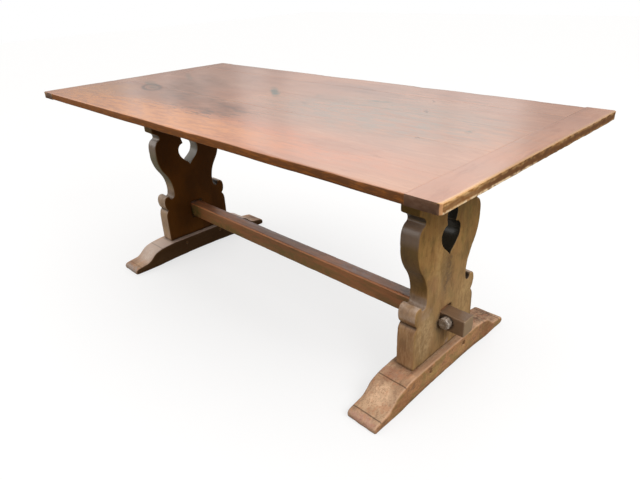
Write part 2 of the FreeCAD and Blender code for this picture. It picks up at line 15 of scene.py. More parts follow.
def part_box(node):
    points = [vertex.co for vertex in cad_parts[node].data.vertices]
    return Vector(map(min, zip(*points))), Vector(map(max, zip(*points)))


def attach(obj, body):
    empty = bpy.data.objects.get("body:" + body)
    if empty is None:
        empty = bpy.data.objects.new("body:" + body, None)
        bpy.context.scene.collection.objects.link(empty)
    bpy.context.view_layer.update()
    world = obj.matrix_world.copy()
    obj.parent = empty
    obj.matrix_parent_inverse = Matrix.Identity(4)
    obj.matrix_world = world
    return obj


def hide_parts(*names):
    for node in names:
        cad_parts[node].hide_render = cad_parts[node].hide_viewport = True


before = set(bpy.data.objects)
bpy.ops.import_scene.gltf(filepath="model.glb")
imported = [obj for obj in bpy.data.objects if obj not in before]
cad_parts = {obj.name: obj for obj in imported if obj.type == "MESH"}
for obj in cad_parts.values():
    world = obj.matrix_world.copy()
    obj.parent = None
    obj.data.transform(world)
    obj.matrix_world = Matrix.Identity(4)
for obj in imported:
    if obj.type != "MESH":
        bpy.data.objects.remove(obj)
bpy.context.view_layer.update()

bl_info = {
    "name": "Trestle dining table",
    "version": (1, 0, 0),
    "blender": (4, 5, 0),
    "location": "3D View > Sidebar > Table",
    "description": "Dresses a trestle dining table in worn, waxed wood",
    "category": "Object",
}

# The two trestles, and which way each one's outer side faces along X.
SIDES = {"right": 1, "left": -1}
BOARDS = ("front", "inner_front", "middle", "inner_rear", "rear")
MIX_FACTOR, MIX_A, MIX_B, MIX_RESULT = 0, 6, 7, 2
SHARP_DEGREES = 40
X_AXIS, Y_AXIS, Z_AXIS = 0, 1, 2


def centre(node, axis):
    return sum(corner[axis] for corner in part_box(node)) / 2


# Places that the finishes refer to, in metres, on the right-hand trestle.
TOP_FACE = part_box("top_board_front")[1].z
OUTER_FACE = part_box("upright_right")[1].x
FOOT_SIDE, FOOT_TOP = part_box("foot_right")[1].x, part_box("foot_right")[1].z
RAIL_MIDDLE = centre("stretcher", Z_AXIS)
PEG_PLACE = centre("tusk_peg_right", X_AXIS), centre("tusk_peg_right", Z_AXIS)


# ---- sizes and colours that a user would change

def length(name, description, default, low=0.0, high=0.1):
    return bpy.props.FloatProperty(name=name, description=description, default=default, min=low, max=high,
                                   subtype="DISTANCE", unit="LENGTH", precision=4)


def colour(name, description, default):
    return bpy.props.FloatVectorProperty(name=name, description=description, default=default, size=3,
                                         subtype="COLOR", min=0.0, max=1.0)


class TableWear(bpy.types.PropertyGroup):
    """How far use has worn the table."""

    seam_round: length("Seam arris", "Rounding along the seams between boards", 0.0006)
    edge_round: length("Edge round", "Rounding along the outside of the top", 0.0035)
    top_waviness: length("Top waviness", "Depth of the hollows planed and worn into the top", 0.0006)
    edge_waviness: length("Edge waviness", "Depth of the dips along the long edges", 0.0022)
    chip_depth: length("Chips", "Depth of the chips along the outer arrises", 0.0028)
    hewn_depth: length("Hewn depth", "Depth of the gouges in the outer edges of the end boards", 0.0026)
    plank_voxel: length("Plank detail", "Mesh size of uprights, feet and stretcher", 0.0024, 0.001)
    peg_voxel: length("Peg detail", "Mesh size of the tusk pegs", 0.0011, 0.0005)
    plank_waviness: length("Plank waviness", "Depth of tool marks on uprights, feet and stretcher", 0.0012)
    softening: bpy.props.IntProperty(
        name="Softening", description="How often the arrises of uprights, feet and stretcher are rubbed down",
        default=3, min=0, max=20)


class TableColours(bpy.types.PropertyGroup):
    """The colours of the table's woods."""

    top_pale: colour("Top, pale", "Palest wood of the boards", (0.56, 0.270, 0.158))
    top_warm: colour("Top, warm", "Orange-brown wood of the boards", (0.47, 0.196, 0.106))
    # Partly greyed polish and partly painted sheen over the middle and right of the top.
    top_grey_and_sheen: colour("Top, greyed", "Boards where the polish has greyed", (0.42, 0.245, 0.180))
    top_dark: colour("Top, grain", "Late growth and stains in the boards", (0.16, 0.070, 0.040))
    edge_pale: colour("Outer edge, pale", "Lips of the end boards, rubbed bare", (0.70, 0.41, 0.18))
    edge_brown: colour("Outer edge, brown", "Outer edges of the top", (0.31, 0.095, 0.006))
    upright_pale: colour("Upright, pale", "Palest wood of the uprights", (0.41, 0.230, 0.075))
    upright_mid: colour("Upright, mid", "Ochre wood of the uprights", (0.26, 0.135, 0.035))
    upright_dark: colour("Upright, dark", "Grain and dirt in the uprights", (0.075, 0.04, 0.014))
    foot_pale: colour("Foot, pale", "Wood rubbed bare on the feet", (0.60, 0.40, 0.25))
    foot_mid: colour("Foot, mid", "Brown wood of the feet", (0.36, 0.20, 0.115))
    foot_dark: colour("Foot, dark", "Grain and dirt in the feet", (0.12, 0.06, 0.035))
    rail_pale: colour("Stretcher, pale", "Rubbed arrises of the stretcher", (0.60, 0.24, 0.10))
    rail_mid: colour("Stretcher, mid", "Reddish wood of the stretcher", (0.28, 0.125, 0.055))
    rail_dark: colour("Stretcher, dark", "Grain and dirt in the stretcher", (0.09, 0.045, 0.02))


# ---- numpy surfaces

def noise(points, size, seed=0):
    """Smooth noise from -1 to 1. Cells of the given size hold hashed values at their corners, and
    3t^2 - 2t^3 blends them along each axis."""
    scaled = points / np.asarray(size, float) + 31.7 * (seed + 1)
    cell = np.floor(scaled).astype(np.int64)
    t = scaled - cell
    t = t * t * (3 - 2 * t)
    total = np.zeros(len(points))
    for corner in np.ndindex(2, 2, 2):
        at = (cell + corner).astype(np.uint64)
        mixed = at[:, 0] * np.uint64(73856093) ^ at[:, 1] * np.uint64(19349663) ^ at[:, 2] * np.uint64(83492791)
        mixed = (mixed ^ (mixed >> np.uint64(15))) * np.uint64(2654435761) & np.uint64(0xFFFFFFFF)
        mixed = (mixed ^ (mixed >> np.uint64(13))) & np.uint64(0xFFFF)
        share = np.prod(np.where(corner, t, 1 - t), axis=1)
        total += share * (mixed / 32767.5 - 1)
    return total


def ramp(value, low, high):
    """0 below low, 1 above high, and 3t^2 - 2t^3 between them."""
    t = np.clip((value - low) / (high - low), 0, 1)
    return t * t * (3 - 2 * t)


def rounded_section(low, high, rounds, spacing, arc_steps=4):
    """Outline of a rectangle with rounded corners, as points and their outward normals.

    Corners run anticlockwise from (low, low). A corner of radius r is the quarter circle round a centre r
    inside it, and the straight stretches between the corners are divided evenly."""
    (a0, b0), (a1, b1) = low, high
    corners = [(a0, b0, 180), (a1, b0, 270), (a1, b1, 0), (a0, b1, 90)]
    arcs = []
    for (a, b, start), r in zip(corners, rounds):
        angle = np.radians(start + np.linspace(0, 90, arc_steps + 1))
        out = np.stack([np.cos(angle), np.sin(angle)], 1)
        centre = np.array([a, b]) - r * np.sign(out[0] + out[-1])
        arcs.append((centre + r * out, out))
    ring, facing = [], []
    for (arc, out), (next_arc, _) in zip(arcs, arcs[1:] + arcs[:1]):
        here, there = arc[-1], next_arc[0]
        steps = max(1, int(np.linalg.norm(there - here) / spacing))
        share = np.arange(1, steps)[:, None] / steps
        ring += [arc, here + (there - here) * share]
        facing += [out, np.repeat(out[-1:], steps - 1, 0)]
    return np.concatenate(ring), np.concatenate(facing)


def stations(start, end, spacing, inset):
    """Places along a board: even ones, and a few at each end, over the rounded arris, that draw together as
    the power 1.5 of an even share."""
    curve, close_steps = 0.010, 8
    close = inset + (curve - inset) * np.linspace(0, 1, close_steps)[:-1] ** 1.5
    even = np.linspace(start + curve, end - curve, max(2, int((end - start) / spacing)))
    return np.concatenate([[start, start + inset * 0.3], start + close, even, end - close[::-1],
                           [end - inset * 0.3, end]])


def tube_faces(rows, columns):
    """Quads of a tube of rows by columns points, facing outwards for an anticlockwise section."""
    i, j = np.meshgrid(np.arange(rows - 1), np.arange(columns), indexing="ij")
    after = (j + 1) % columns
    row, next_row = i * columns, (i + 1) * columns
    return np.stack([row + j, row + after, next_row + after, next_row + j], -1).reshape(-1, 4)


def relaxed(points, edges, turns):
    """Each point moves halfway to the mean of its neighbours, turns times."""
    a, b = edges.T
    count = np.bincount(edges.ravel(), minlength=len(points))[:, None]
    for _ in range(turns):
        total = [np.bincount(a, points[b, k], len(points)) + np.bincount(b, points[a, k], len(points))
                 for k in range(3)]
        points = points + 0.5 * (np.stack(total, 1) / count - points)
    return points


def array_of(items, name, width):
    """One attribute of a mesh's vertices or edges, as an array."""
    flat = np.zeros(len(items) * width, np.int32 if name == "vertices" else np.float32)
    items.foreach_get(name, flat)
    return flat.reshape(-1, width) if width > 1 else flat


def set_points(mesh, points):
    mesh.vertices.foreach_set("co", points.astype(np.float32).ravel())
    mesh.update()


def set_material(mesh, material):
    mesh.materials.clear()
    mesh.materials.append(material)


def placed(name, data):
    """A new object in the scene that holds the data."""
    piece = bpy.data.objects.new(name, data)
    bpy.context.scene.collection.objects.link(piece)
    return piece


def changed(mesh, change):
    """Puts a mesh through one change made with bmesh."""
    opened = bmesh.new()
    opened.from_mesh(mesh)
    change(opened)
    opened.to_mesh(mesh)
    opened.free()


def set_wear(mesh, wear):
    """Stores how rubbed each point is: 1 on a bare arris, -1 deep in a dirty corner."""
    layer = mesh.attributes.new("wear", "FLOAT", "POINT")
    layer.data.foreach_set("value", np.clip(wear, -1, 1).astype(np.float32))


def finished(mesh, name, material, body, nodes):
    """Puts the mesh into the scene as a piece that stands for the nodes."""
    mesh.polygons.foreach_set("use_smooth", np.ones(len(mesh.polygons), bool))
    mesh.set_sharp_from_angle(angle=math.radians(SHARP_DEGREES))
    set_material(mesh, material)
    piece = placed(name, mesh)
    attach(piece, body)
    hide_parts(*nodes)


def kept_inside(points, node):
    """The points moved no further out than the node's own box."""
    low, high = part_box(node)
    return np.clip(points, np.array(low), np.array(high))


# ---- shaders

def adds(operation, swapped=False):
    """A method for one of Python's operators that adds a Math node."""
    def method(self, other):
        return self.maths(operation, *((other, self) if swapped else (self, other)))
    return method


class Value:
    """A shader socket that Python's operators add Math nodes to."""

    def __init__(self, paint, socket):
        self.paint, self.socket = paint, socket

    def maths(self, operation, *numbers):
        return self.paint.node("ShaderNodeMath", {"operation": operation}, dict(enumerate(numbers)))

    __add__ = __radd__ = adds("ADD")
    __mul__ = __rmul__ = adds("MULTIPLY")
    __sub__, __rsub__ = adds("SUBTRACT"), adds("SUBTRACT", swapped=True)
    __truediv__, __pow__ = adds("DIVIDE"), adds("POWER")

    def __abs__(self):
        return self.maths("ABSOLUTE", self)

    def part(self, name):
        """Another output of the same node."""
        return Value(self.paint, self.socket.node.outputs[name])

    def between(self, low, high):
        """0 below low and 1 above high, with a smooth step between them."""
        inputs = {0: self, 1: low, 2: high}
        return self.paint.node("ShaderNodeMapRange", {"interpolation_type": "SMOOTHSTEP"}, inputs)

    def below(self, low, high):
        """1 below low and 0 above high, with a smooth step between them."""
        return 1 - self.between(low, high)

    def near(self, centre, core, rim):
        """1 within the core's distance of the centre and 0 past the rim's."""
        return abs(self - centre).below(core, rim)

    def band(self, start, full, fading, gone):
        """1 from full to fading, and 0 before start and past gone."""
        return self.between(start, full) * self.below(fading, gone)

    def clipped(self):
        return self.paint.node("ShaderNodeClamp", {}, {0: self})


class Paint:
    """The node tree of one material or world."""

    def __init__(self, tree):
        self.tree = tree
        tree.nodes.clear()

    def node(self, kind, settings, inputs, output=0):
        """Adds a node, makes its settings, then sets or links its sockets. Gives one of its outputs."""
        made = self.tree.nodes.new(kind)
        for name, value in settings.items():
            setattr(made, name, value)
        for name, value in inputs.items():
            if isinstance(value, Value):
                self.tree.links.new(value.socket, made.inputs[name])
            else:
                made.inputs[name].default_value = value
        return Value(self, made.outputs[output])

    def place(self):
        """Where the point is on the table, in metres."""
        return self.node("ShaderNodeTexCoord", {}, {}, "Object")

    def vector(self, operation, *vectors, output=0):
        return self.node("ShaderNodeVectorMath", {"operation": operation}, dict(enumerate(vectors)), output)

    def apart(self, vector):
        """The x, y and z of a vector."""
        x = self.node("ShaderNodeSeparateXYZ", {}, {0: vector}, "X")
        return x, x.part("Y"), x.part("Z")

    def facing(self):
        """The x, y and z of the way that the surface faces."""
        return self.apart(self.node("ShaderNodeNewGeometry", {}, {}, "Normal"))

    def noise(self, place, scale, detail=3.0, roughness=0.6):
        inputs = {"Vector": place, "Scale": scale, "Detail": detail, "Roughness": roughness}
        return self.node("ShaderNodeTexNoise", {}, inputs)

    def drawn(self, place, scales, detail=4.0, roughness=0.7, shift=(0.0, 0.0, 0.0)):
        """Noise drawn out along the axes: scales are its features to the metre along each one."""
        scaled = self.vector("MULTIPLY", self.vector("ADD", place, shift), scales)
        return self.noise(scaled, 1.0, detail, roughness)

    def mix(self, factor, first, second, blend="MIX"):
        def full(c):
            return (*c, 1.0) if isinstance(c, tuple) and len(c) == 3 else c
        settings = {"data_type": "RGBA", "blend_type": blend}
        inputs = {MIX_FACTOR: factor, MIX_A: full(first), MIX_B: full(second)}
        return self.node("ShaderNodeMix", settings, inputs, MIX_RESULT)

    def layers(self, base, *coats):
        """Colours laid over the base one after another, each as far as its mask says."""
        for mask, tint in coats:
            base = self.mix(mask, base, tint)
        return base

    def spot(self, place, centre, half_size, turn=0.0, core=0.35):
        """1 in the heart of an ellipse seen from above, fading to 0 at its rim. Turn is in degrees."""
        inputs = {"Vector": place, "Location": centre, "Rotation": (0.0, 0.0, math.radians(turn)),
                  "Scale": half_size}
        local = self.node("ShaderNodeMapping", {"vector_type": "TEXTURE"}, inputs)
        return self.vector("LENGTH", local, output="Value").below(core, 1.0)

    def bump(self, height, distance):
        return self.node("ShaderNodeBump", {}, {"Height": height, "Distance": distance})

    def surface(self, **inputs):
        """The wood's own shader, and the material's output."""
        named = {name.replace("_", " "): value for name, value in inputs.items()}
        self.end(self.node("ShaderNodeBsdfPrincipled", {}, named))

    def end(self, shader, kind="ShaderNodeOutputMaterial"):
        """Links a shader to the output of a material or a world."""
        out = self.tree.nodes.new(kind)
        self.tree.links.new(shader.socket, out.inputs["Surface"])


def new_material(name):
    material = bpy.data.materials.new(name)
    material.use_nodes = True
    return material, Paint(material.node_tree)


def along(axis, lengthwise, crosswise):
    """Scales for a pattern that is drawn out along the grain."""
    scales = [crosswise] * 3
    scales[axis] = lengthwise
    return tuple(scales)


def darker(tint, share):
    return tuple(v * share for v in tint)


def user_colour(name):
    """One of the table's colours, as the user set it."""
    return tuple(getattr(bpy.context.scene.table_colours, name))


def shades(*names):
    return [user_colour(name) for name in names]


def growth_rings(paint, place, axis, pith, gap):
    """Late growth as a plank shows it: thin dark lines at even distances from a wandering pith.

    The distance from the pith line is divided by the gap, and what is left over after whole rings rises to a
    dark edge and drops back."""
    wander = paint.drawn(place, along(axis, 0.9, 2.5), 2.0, 0.5).part("Color")
    drift = paint.vector("MULTIPLY", paint.vector("SUBTRACT", wander, (0.5, 0.5, 0.5)), (0.09, 0.09, 0.09))
    centred = paint.vector("SUBTRACT", paint.vector("ADD", place, drift), pith)
    flat = paint.vector("MULTIPLY", centred, along(axis, 0.02, 1.0))
    count = paint.vector("LENGTH", flat, output="Value") / gap
    return count.maths("FRACT", count).band(0.25, 0.9, 0.92, 1.0)


def wood(name, axis, pith, gap, colours, figure=(0.30, 0.45, 0.30), mottle=0.0, roughness=0.42, coat=None,
         depth=0.0004, shift=(0, 0, 0), extra=None, specular=0.35, grain=(24.0, 52.0), rub=None, dull=None):
    """A plank's finish: growth rings, streaks and fibres as strong as figure says, blotches as strong as mottle
    says, rubbed pale on its arrises and dirty in its corners, with a grain that can be felt.

    Functions may give more: extra paints over the grain, coat gives the polish, rub the colour of rubbed
    arrises and dull the places without gloss."""
    pale, mid, dark, rubbed = colours
    rings_strength, streaks_strength, fibres_strength = figure
    material, paint = new_material(name)
    place = paint.place()
    own = paint.vector("ADD", place, shift)
    rings = growth_rings(paint, own, axis, pith, gap)
    fibre = paint.drawn(own, along(axis, 9.0, 420.0), 2.0, 0.6)
    streak = paint.drawn(own, along(axis, 2.6, 46.0), 3.0, 0.55)
    patch = paint.drawn(own, along(axis, 2.6, 6.0), 3.0, 0.6)
    blotch = paint.drawn(own, along(axis, *grain), 4.0, 0.68)
    wear = paint.node("ShaderNodeAttribute", {"attribute_name": "wear"}, {}, "Fac")
    base = paint.layers(mid, (patch.between(0.36, 0.66), pale),
                        (streak.between(0.48, 0.75) * streaks_strength, dark),
                        (rings * rings_strength, dark),
                        (fibre.between(0.50, 0.78) * fibres_strength, dark))
    if mottle:
        base = paint.layers(base, (blotch.between(0.50, 0.66) * mottle, darker(mid, 0.42)),
                            (blotch.below(0.36, 0.48) * (0.55 * mottle), rubbed))
    if extra:
        base = extra(paint, place, base)
    if rub:
        rubbed = rub(paint, place)
    base = paint.layers(base, (wear.between(0.15, 0.8) * 0.75, rubbed),
                        ((wear * -1).between(0.10, 0.8) * 0.75, dark))
    rough = (roughness + 0.12 * patch - 0.06) + 0.06 * fibre
    if dull:
        rough = rough + 0.35 * dull(paint, place)
    height = fibre * 0.5 + streak * 0.7 - rings * 0.25 + blotch * mottle
    polish = {"Coat_Weight": coat(paint, place)} if coat else {}
    paint.surface(Base_Color=base, Roughness=rough, Coat_Roughness=0.22, Specular_IOR_Level=specular,
                  Normal=paint.bump(height, depth), **polish)
    return material


def marked(paint, place, base, marks, size, fray, drawn=(1.0, 1.0, 1.0), flecks=0.95):
    """Lays stains and worn places over the base. Each is an ellipsoid with a frayed rim, flecked inside:
    colour, centre, half sizes, turn seen from above and strength. Drawn stretches the flecks."""
    wander = paint.vector("SUBTRACT", paint.noise(place, size, 4.0, 0.65).part("Color"), (0.5, 0.5, 0.5))
    near = paint.vector("ADD", place, paint.vector("MULTIPLY", wander, fray))
    stretched = paint.vector("MULTIPLY", place, drawn)
    fleck = paint.noise(stretched, size * 2.5, 4.0, 0.7).between(0.38, 0.62)
    for tint, centre, half_size, turn, strength in marks:
        spot = paint.spot(near, centre, half_size, turn)
        base = paint.mix((spot * (strength * (0.90 - 0.5 * flecks + flecks * fleck))).clipped(), base, tint)
    return base


RED_BROWN, GREEN_GREY, KNOT = (0.27, 0.115, 0.06), (0.10, 0.12, 0.095), (0.07, 0.035, 0.022)
RUST, OCHRE, OLIVE = (0.30, 0.12, 0.05), (0.53, 0.33, 0.13), (0.19, 0.14, 0.04)
# Soot black, used both for dirt and as painted shade in creases, gaps, hollows and round joints.
LILAC, SOOT_AND_SHADE = (0.36, 0.28, 0.27), (0.030, 0.018, 0.011)

# Marks on the top: stains and worn places that long use left, with some painted reflections and painted sheen
# among them, marked below: colour, place (x, y), half length and half width, turn, strength.
TOP_MARKS = (
    ((0.60, 0.215, 0.105), (0.15, -0.34), (0.85, 0.15), 2, 0.60),
    # Partly greyed polish and partly painted sheen: a grey cloud over the middle and rear.
    ((0.29, 0.225, 0.180), (0.42, 0.02), (0.60, 0.27), 0, 0.66),
    ((0.78, 0.34, 0.135), (-0.32, -0.37), (0.90, 0.14), 0, 0.75),
    ((0.70, 0.35, 0.15), (-0.75, -0.25), (0.22, 0.14), 0, 0.45),
    ((0.34, 0.130, 0.060), (-0.13, -0.20), (0.30, 0.10), -8, 0.75),
    ((0.20, 0.075, 0.040), (-0.10, -0.16), (0.22, 0.06), -14, 0.40),
    # Painted reflections: the next five diagonal streaks, red-brown and green-grey, run where the polish
    # mirrors darker bands.
    (RED_BROWN, (-0.45, -0.08), (0.30, 0.12), -25, 0.80),
    (RED_BROWN, (-0.52, 0.10), (0.26, 0.06), -20, 0.45),
    (GREEN_GREY, (-0.66, -0.100), (0.14, 0.030), -22, 0.50),
    (GREEN_GREY, (-0.115, 0.085), (0.12, 0.022), -38, 0.85),
    (GREEN_GREY, (-0.70, 0.10), (0.14, 0.018), -31, 0.35),
    # Painted reflection: a redder patch at the right rear, where the polish mirrors less light.
    (RED_BROWN, (0.80, 0.34), (0.16, 0.15), -18, 0.25),
    (KNOT, (0.435, 0.255), (0.020, 0.006), -50, 0.75),
    (KNOT, (0.495, 0.135), (0.030, 0.007), -50, 0.75),
    (KNOT, (0.64, -0.115), (0.010, 0.008), 0, 0.80),
    (GREEN_GREY, (0.72, 0.005), (0.018, 0.024), 0, 0.50),
    (GREEN_GREY, (0.30, 0.165), (0.060, 0.018), 15, 0.55),
    ((0.30, 0.17, 0.13), (0.10, 0.28), (0.34, 0.08), -6, 0.45),
    ((0.30, 0.16, 0.11), (0.52, -0.28), (0.16, 0.05), 0, 0.40),
    (GREEN_GREY, (0.07, 0.12), (0.030, 0.012), -30, 0.35),
    (KNOT, (0.105, 0.01), (0.028, 0.007), -12, 0.50),
    (GREEN_GREY, (0.10, 0.30), (0.018, 0.010), -30, 0.45),
    (RED_BROWN, (0.66, -0.29), (0.035, 0.010), 8, 0.35),
)

# Where the boards' fibres are torn: place, half length and half width, turn, strength.
TORN_PLACES = (((-0.14, -0.20), (0.38, 0.13), -8, 0.55), ((0.30, 0.30), (0.45, 0.12), 0, 0.30))

# The knot's ring: place and turn, and the half sizes and solid share of its outside and its heart.
RING_PLACE, RING_TURN = (-0.610, -0.130), -20
RING_OUTSIDE, RING_HEART = ((0.095, 0.045), 0.70), ((0.075, 0.030), 0.65)


def on_top(place, half_size):
    """A place and a half size on the top's face, as a centre and half sizes for a spot."""
    return (*place, TOP_FACE), (*half_size, 0.5)


# How the boards' colours differ, from front to rear.
BOARD_TINTS = ((1.0, 0.92, 0.84), (0.92, 0.84, 0.80), (0.98, 0.90, 0.86), (0.90, 0.84, 0.82),
               (0.96, 0.86, 0.84))


def top_patina(paint, place, base, grain=(5.0, 19.0, 1.0)):
    """Stains, faded places, painted sheen and painted reflections of the whole top, which run on from board to
    board. The greyed clouds are partly greyed polish and partly painted sheen.
    """
    cloud = paint.drawn(place, (1.6, 3.2, 1.0), 3.0, 0.55, (3.1, 1.7, 0.0))
    flames = paint.drawn(place, grain, 5.0, 0.70, (0.7, 0.2, 0.0))
    base = paint.layers(base, (cloud.between(0.30, 0.70) * 0.6, user_colour("top_grey_and_sheen")),
                        (flames.between(0.52, 0.66) * 0.36, (0.29, 0.110, 0.060)),
                        (flames.below(0.34, 0.46) * 0.22, (0.66, 0.38, 0.25)))
    marks = [(tint, *on_top(spot, half_size), turn, strength)
             for tint, spot, half_size, turn, strength in TOP_MARKS]
    base = marked(paint, place, base, marks, 18.0, (0.08, 0.04, 0.0), (0.35, 1.2, 1.0), 0.8)
    fibres = paint.drawn(place, (13.0, 82.0, 1.0), 3.0, 0.65).between(0.52, 0.60)
    for spot, half_size, turn, strength in TORN_PLACES:
        torn = paint.spot(place, *on_top(spot, half_size), turn, 0.5)
        base = paint.mix(fibres * torn * strength, base, KNOT)
    outside, heart = (paint.spot(place, *on_top(RING_PLACE, half_size), RING_TURN, solid)
                      for half_size, solid in (RING_OUTSIDE, RING_HEART))
    return paint.mix((outside - heart).clipped() * 0.75, base, KNOT)


def outer_edge(paint, place, base, sideways):
    """The outer edge of the top: dark brown, partly its own colour and partly painted shade on the side faces,
    darker to the right, with dirt in its grain.
    """
    brown = user_colour("edge_brown")
    x = paint.apart(place)[0]
    grime = paint.drawn(place, (20.0, 9.0, 170.0), 4.0, 0.68)
    dark = (0.26 + 0.34 * x.between(-0.7, -0.2) + 0.28 * x.between(0.2, 0.8)) * grime.between(0.36, 0.54)
    return paint.mix(sideways.between(0.45, 0.85) * 0.93, base, paint.mix(dark, brown, darker(brown, 0.32)))


def top_coat(paint, place):
    """Polish on the upper face only, uneven where hands and cloths have been."""
    cloudy = paint.noise(place, 5.0)
    return (0.65 + 0.30 * cloudy) * paint.facing()[2].between(0.6, 0.95)


def top_dull(paint, place):
    return abs(paint.facing()[2]).below(0.5, 0.9)


# What all the pieces of the top share: their polish, gloss and the size of their blotches.
TOP_POLISH = {"roughness": 0.20, "coat": top_coat, "depth": 0.00016, "specular": 0.3, "grain": (12.0, 60.0),
              "dull": top_dull}


def top_finish(board_index):
    """The waxed boards: orange-brown under the polish, with stains, painted sheen and painted reflections that
    run over the seams.
    """

    def extra(paint, place, base):
        base = paint.mix(0.30, top_patina(paint, place, base), BOARD_TINTS[board_index], "MULTIPLY")
        return outer_edge(paint, place, base, abs(paint.facing()[1]))

    pith = (0.0, 0.05 * (-1) ** board_index, 0.64 - 0.02 * board_index)
    return wood("top_wood_" + BOARDS[board_index], X_AXIS, pith, 0.013,
                shades("top_pale", "top_warm", "top_dark", "top_pale"), figure=(0.08, 0.22, 0.14),
                mottle=0.16, shift=(2.3 * board_index, 0.0, 0.0), extra=extra, **TOP_POLISH)


# Depths below the top's face on an end board's outer edge: the middle of its hollow, and where its lower lip
# is full and where it starts.
HOLLOW_DEPTH, LIP_FULL, LIP_START = 0.0135, 0.0215, 0.0170


def hewn_edge(paint, place):
    """The colour of an end board's outer edge: chopped, with painted shade in the hollow along its middle,
    darker towards the rear, and with a pale lip below towards the front."""
    y, z = paint.apart(place)[1:]
    far = y.between(-0.34, -0.22)
    chops = paint.drawn(place, (60.0, 34.0, 120.0), 4.0, 0.66)
    wobble = paint.drawn(place, (1.0, 22.0, 1.0)) * 0.016 - 0.008
    broken = paint.drawn(place, (1.0, 48.0, 60.0), 3.0).between(0.42, 0.60)
    # Painted shade in the hollow along the middle of the edge.
    hollow = (z + wobble).near(TOP_FACE - HOLLOW_DEPTH, 0.003, 0.0085) * (0.45 + 0.75 * chops + 0.25 * far)
    under = z.below(TOP_FACE - LIP_FULL, TOP_FACE - LIP_START) * y.below(-0.14, -0.02) * (1.15 - broken)
    return paint.layers((0.36, 0.155, 0.035), (chops.between(0.38, 0.60), (0.74, 0.46, 0.20)),
                        ((hollow * 0.85).clipped(), (0.15, 0.055, 0.010)),
                        (far * (0.45 + 0.5 * broken), (0.115, 0.042, 0.006)),
                        (under.clipped(), (0.86, 0.66, 0.42)))


def end_board_finish(side, sign):
    """The breadboard ends: the top's own colour, with a hewn brown edge, pale lips and dark end grain."""

    def extra(paint, place, base):
        nx, ny = (abs(n) for n in paint.facing()[:2])
        base = paint.mix(0.30, top_patina(paint, place, base, (19.0, 5.0, 1.0)), (0.98, 0.88, 0.84), "MULTIPLY")
        grime = paint.drawn(place, (50.0, 9.0, 90.0), 3.0, 0.5)
        end_grain = paint.mix(grime.between(0.35, 0.65), (0.095, 0.045, 0.022), (0.135, 0.075, 0.045))
        corner = nx.between(0.30, 0.55) * ny.between(0.25, 0.50)
        return paint.layers(base, (nx.between(0.35, 0.75) * 0.95, hewn_edge(paint, place)),
                            (ny.between(0.45, 0.85) * 0.93, end_grain), (corner * 0.85, (0.72, 0.37, 0.17)))

    def rub(paint, place):
        far = paint.apart(place)[1].between(-0.34, -0.15)
        return paint.mix(far * 0.70, user_colour("edge_pale"), (0.36, 0.185, 0.065))

    return wood("end_board_wood_" + side, Y_AXIS, (0.86 * sign, 0.0, 0.60), 0.011,
                shades("top_pale", "top_warm", "top_dark", "edge_pale"), figure=(0.06, 0.20, 0.12),
                mottle=0.12, shift=(0.0, 3.7 * sign, 0.0), extra=extra, rub=rub, **TOP_POLISH)


# Worn, stained and dirty places of an upright's outer face, and painted shade round the tenon: colour, place
# (y, z), half sizes, strength.
UPRIGHT_MARKS = (
    ((0.13, 0.075, 0.035), (-0.010, 0.350), (0.02, 0.045, 0.095), 0.75),
    (OLIVE, (0.095, 0.500), (0.02, 0.060, 0.110), 0.35),
    (OLIVE, (0.020, 0.600), (0.02, 0.150, 0.060), 0.60),
    ((0.60, 0.40, 0.20), (-0.105, 0.185), (0.02, 0.060, 0.110), 0.60),
    (OCHRE, (0.100, 0.210), (0.02, 0.060, 0.110), 0.80),
    (OCHRE, (-0.045, 0.400), (0.02, 0.045, 0.150), 0.45),
    (RUST, (-0.075, 0.345), (0.02, 0.030, 0.040), 0.40),
    (LILAC, (-0.105, 0.262), (0.02, 0.045, 0.030), 0.22),
    ((0.12, 0.090, 0.025), (0.158, 0.590), (0.03, 0.022, 0.100), 0.60),
    ((0.16, 0.105, 0.035), (0.118, 0.400), (0.03, 0.018, 0.070), 0.45),
    ((0.14, 0.080, 0.030), (0.152, 0.200), (0.03, 0.014, 0.090), 0.60),
    (LILAC, (0.014, 0.098), (0.02, 0.014, 0.014), 0.50),
    # Painted shade round the tenon and its peg.
    (SOOT_AND_SHADE, (-0.012, 0.196), (0.02, 0.062, 0.052), 0.95),
)

# Heights on an upright's sawn edge where each place starts, is full, fades and ends. The cusp is at one height,
# and the capital starts, is full and runs on to the top.
KNOB, NOTCH = (0.245, 0.256, 0.292, 0.312), (0.270, 0.276, 0.296, 0.312)
WAIST, EAR, HOLLOW = (0.31, 0.37, 0.46, 0.52), (0.470, 0.500, 0.538, 0.552), (0.545, 0.552, 0.564, 0.572)
CUSP_HEIGHT, CAPITAL_HEIGHT = 0.2295, (0.566, 0.574)


# The colours of an upright's sawn edges below and above the knob, and in its opening: the right one's, then the
# left one's. The right one's opening colour is painted shade, nearly black, and the left one's greyed colours
# are painted sheen.
SAWN_COLOURS_AND_LIGHT = {1: ((0.38, 0.210, 0.105), (0.125, 0.066, 0.010), (0.016, 0.016, 0.012)),
                -1: ((0.50, 0.36, 0.26), (0.42, 0.315, 0.22), (0.30, 0.275, 0.235))}


def sawn(paint):
    """1 on an upright's sawn edges and in its opening, 0 on its faces."""
    return abs(paint.facing()[0]).below(0.35, 0.80)


def upright_hue(paint, place):
    return paint.drawn(place, (16.0, 20.0, 12.0), 4.0, 0.65)


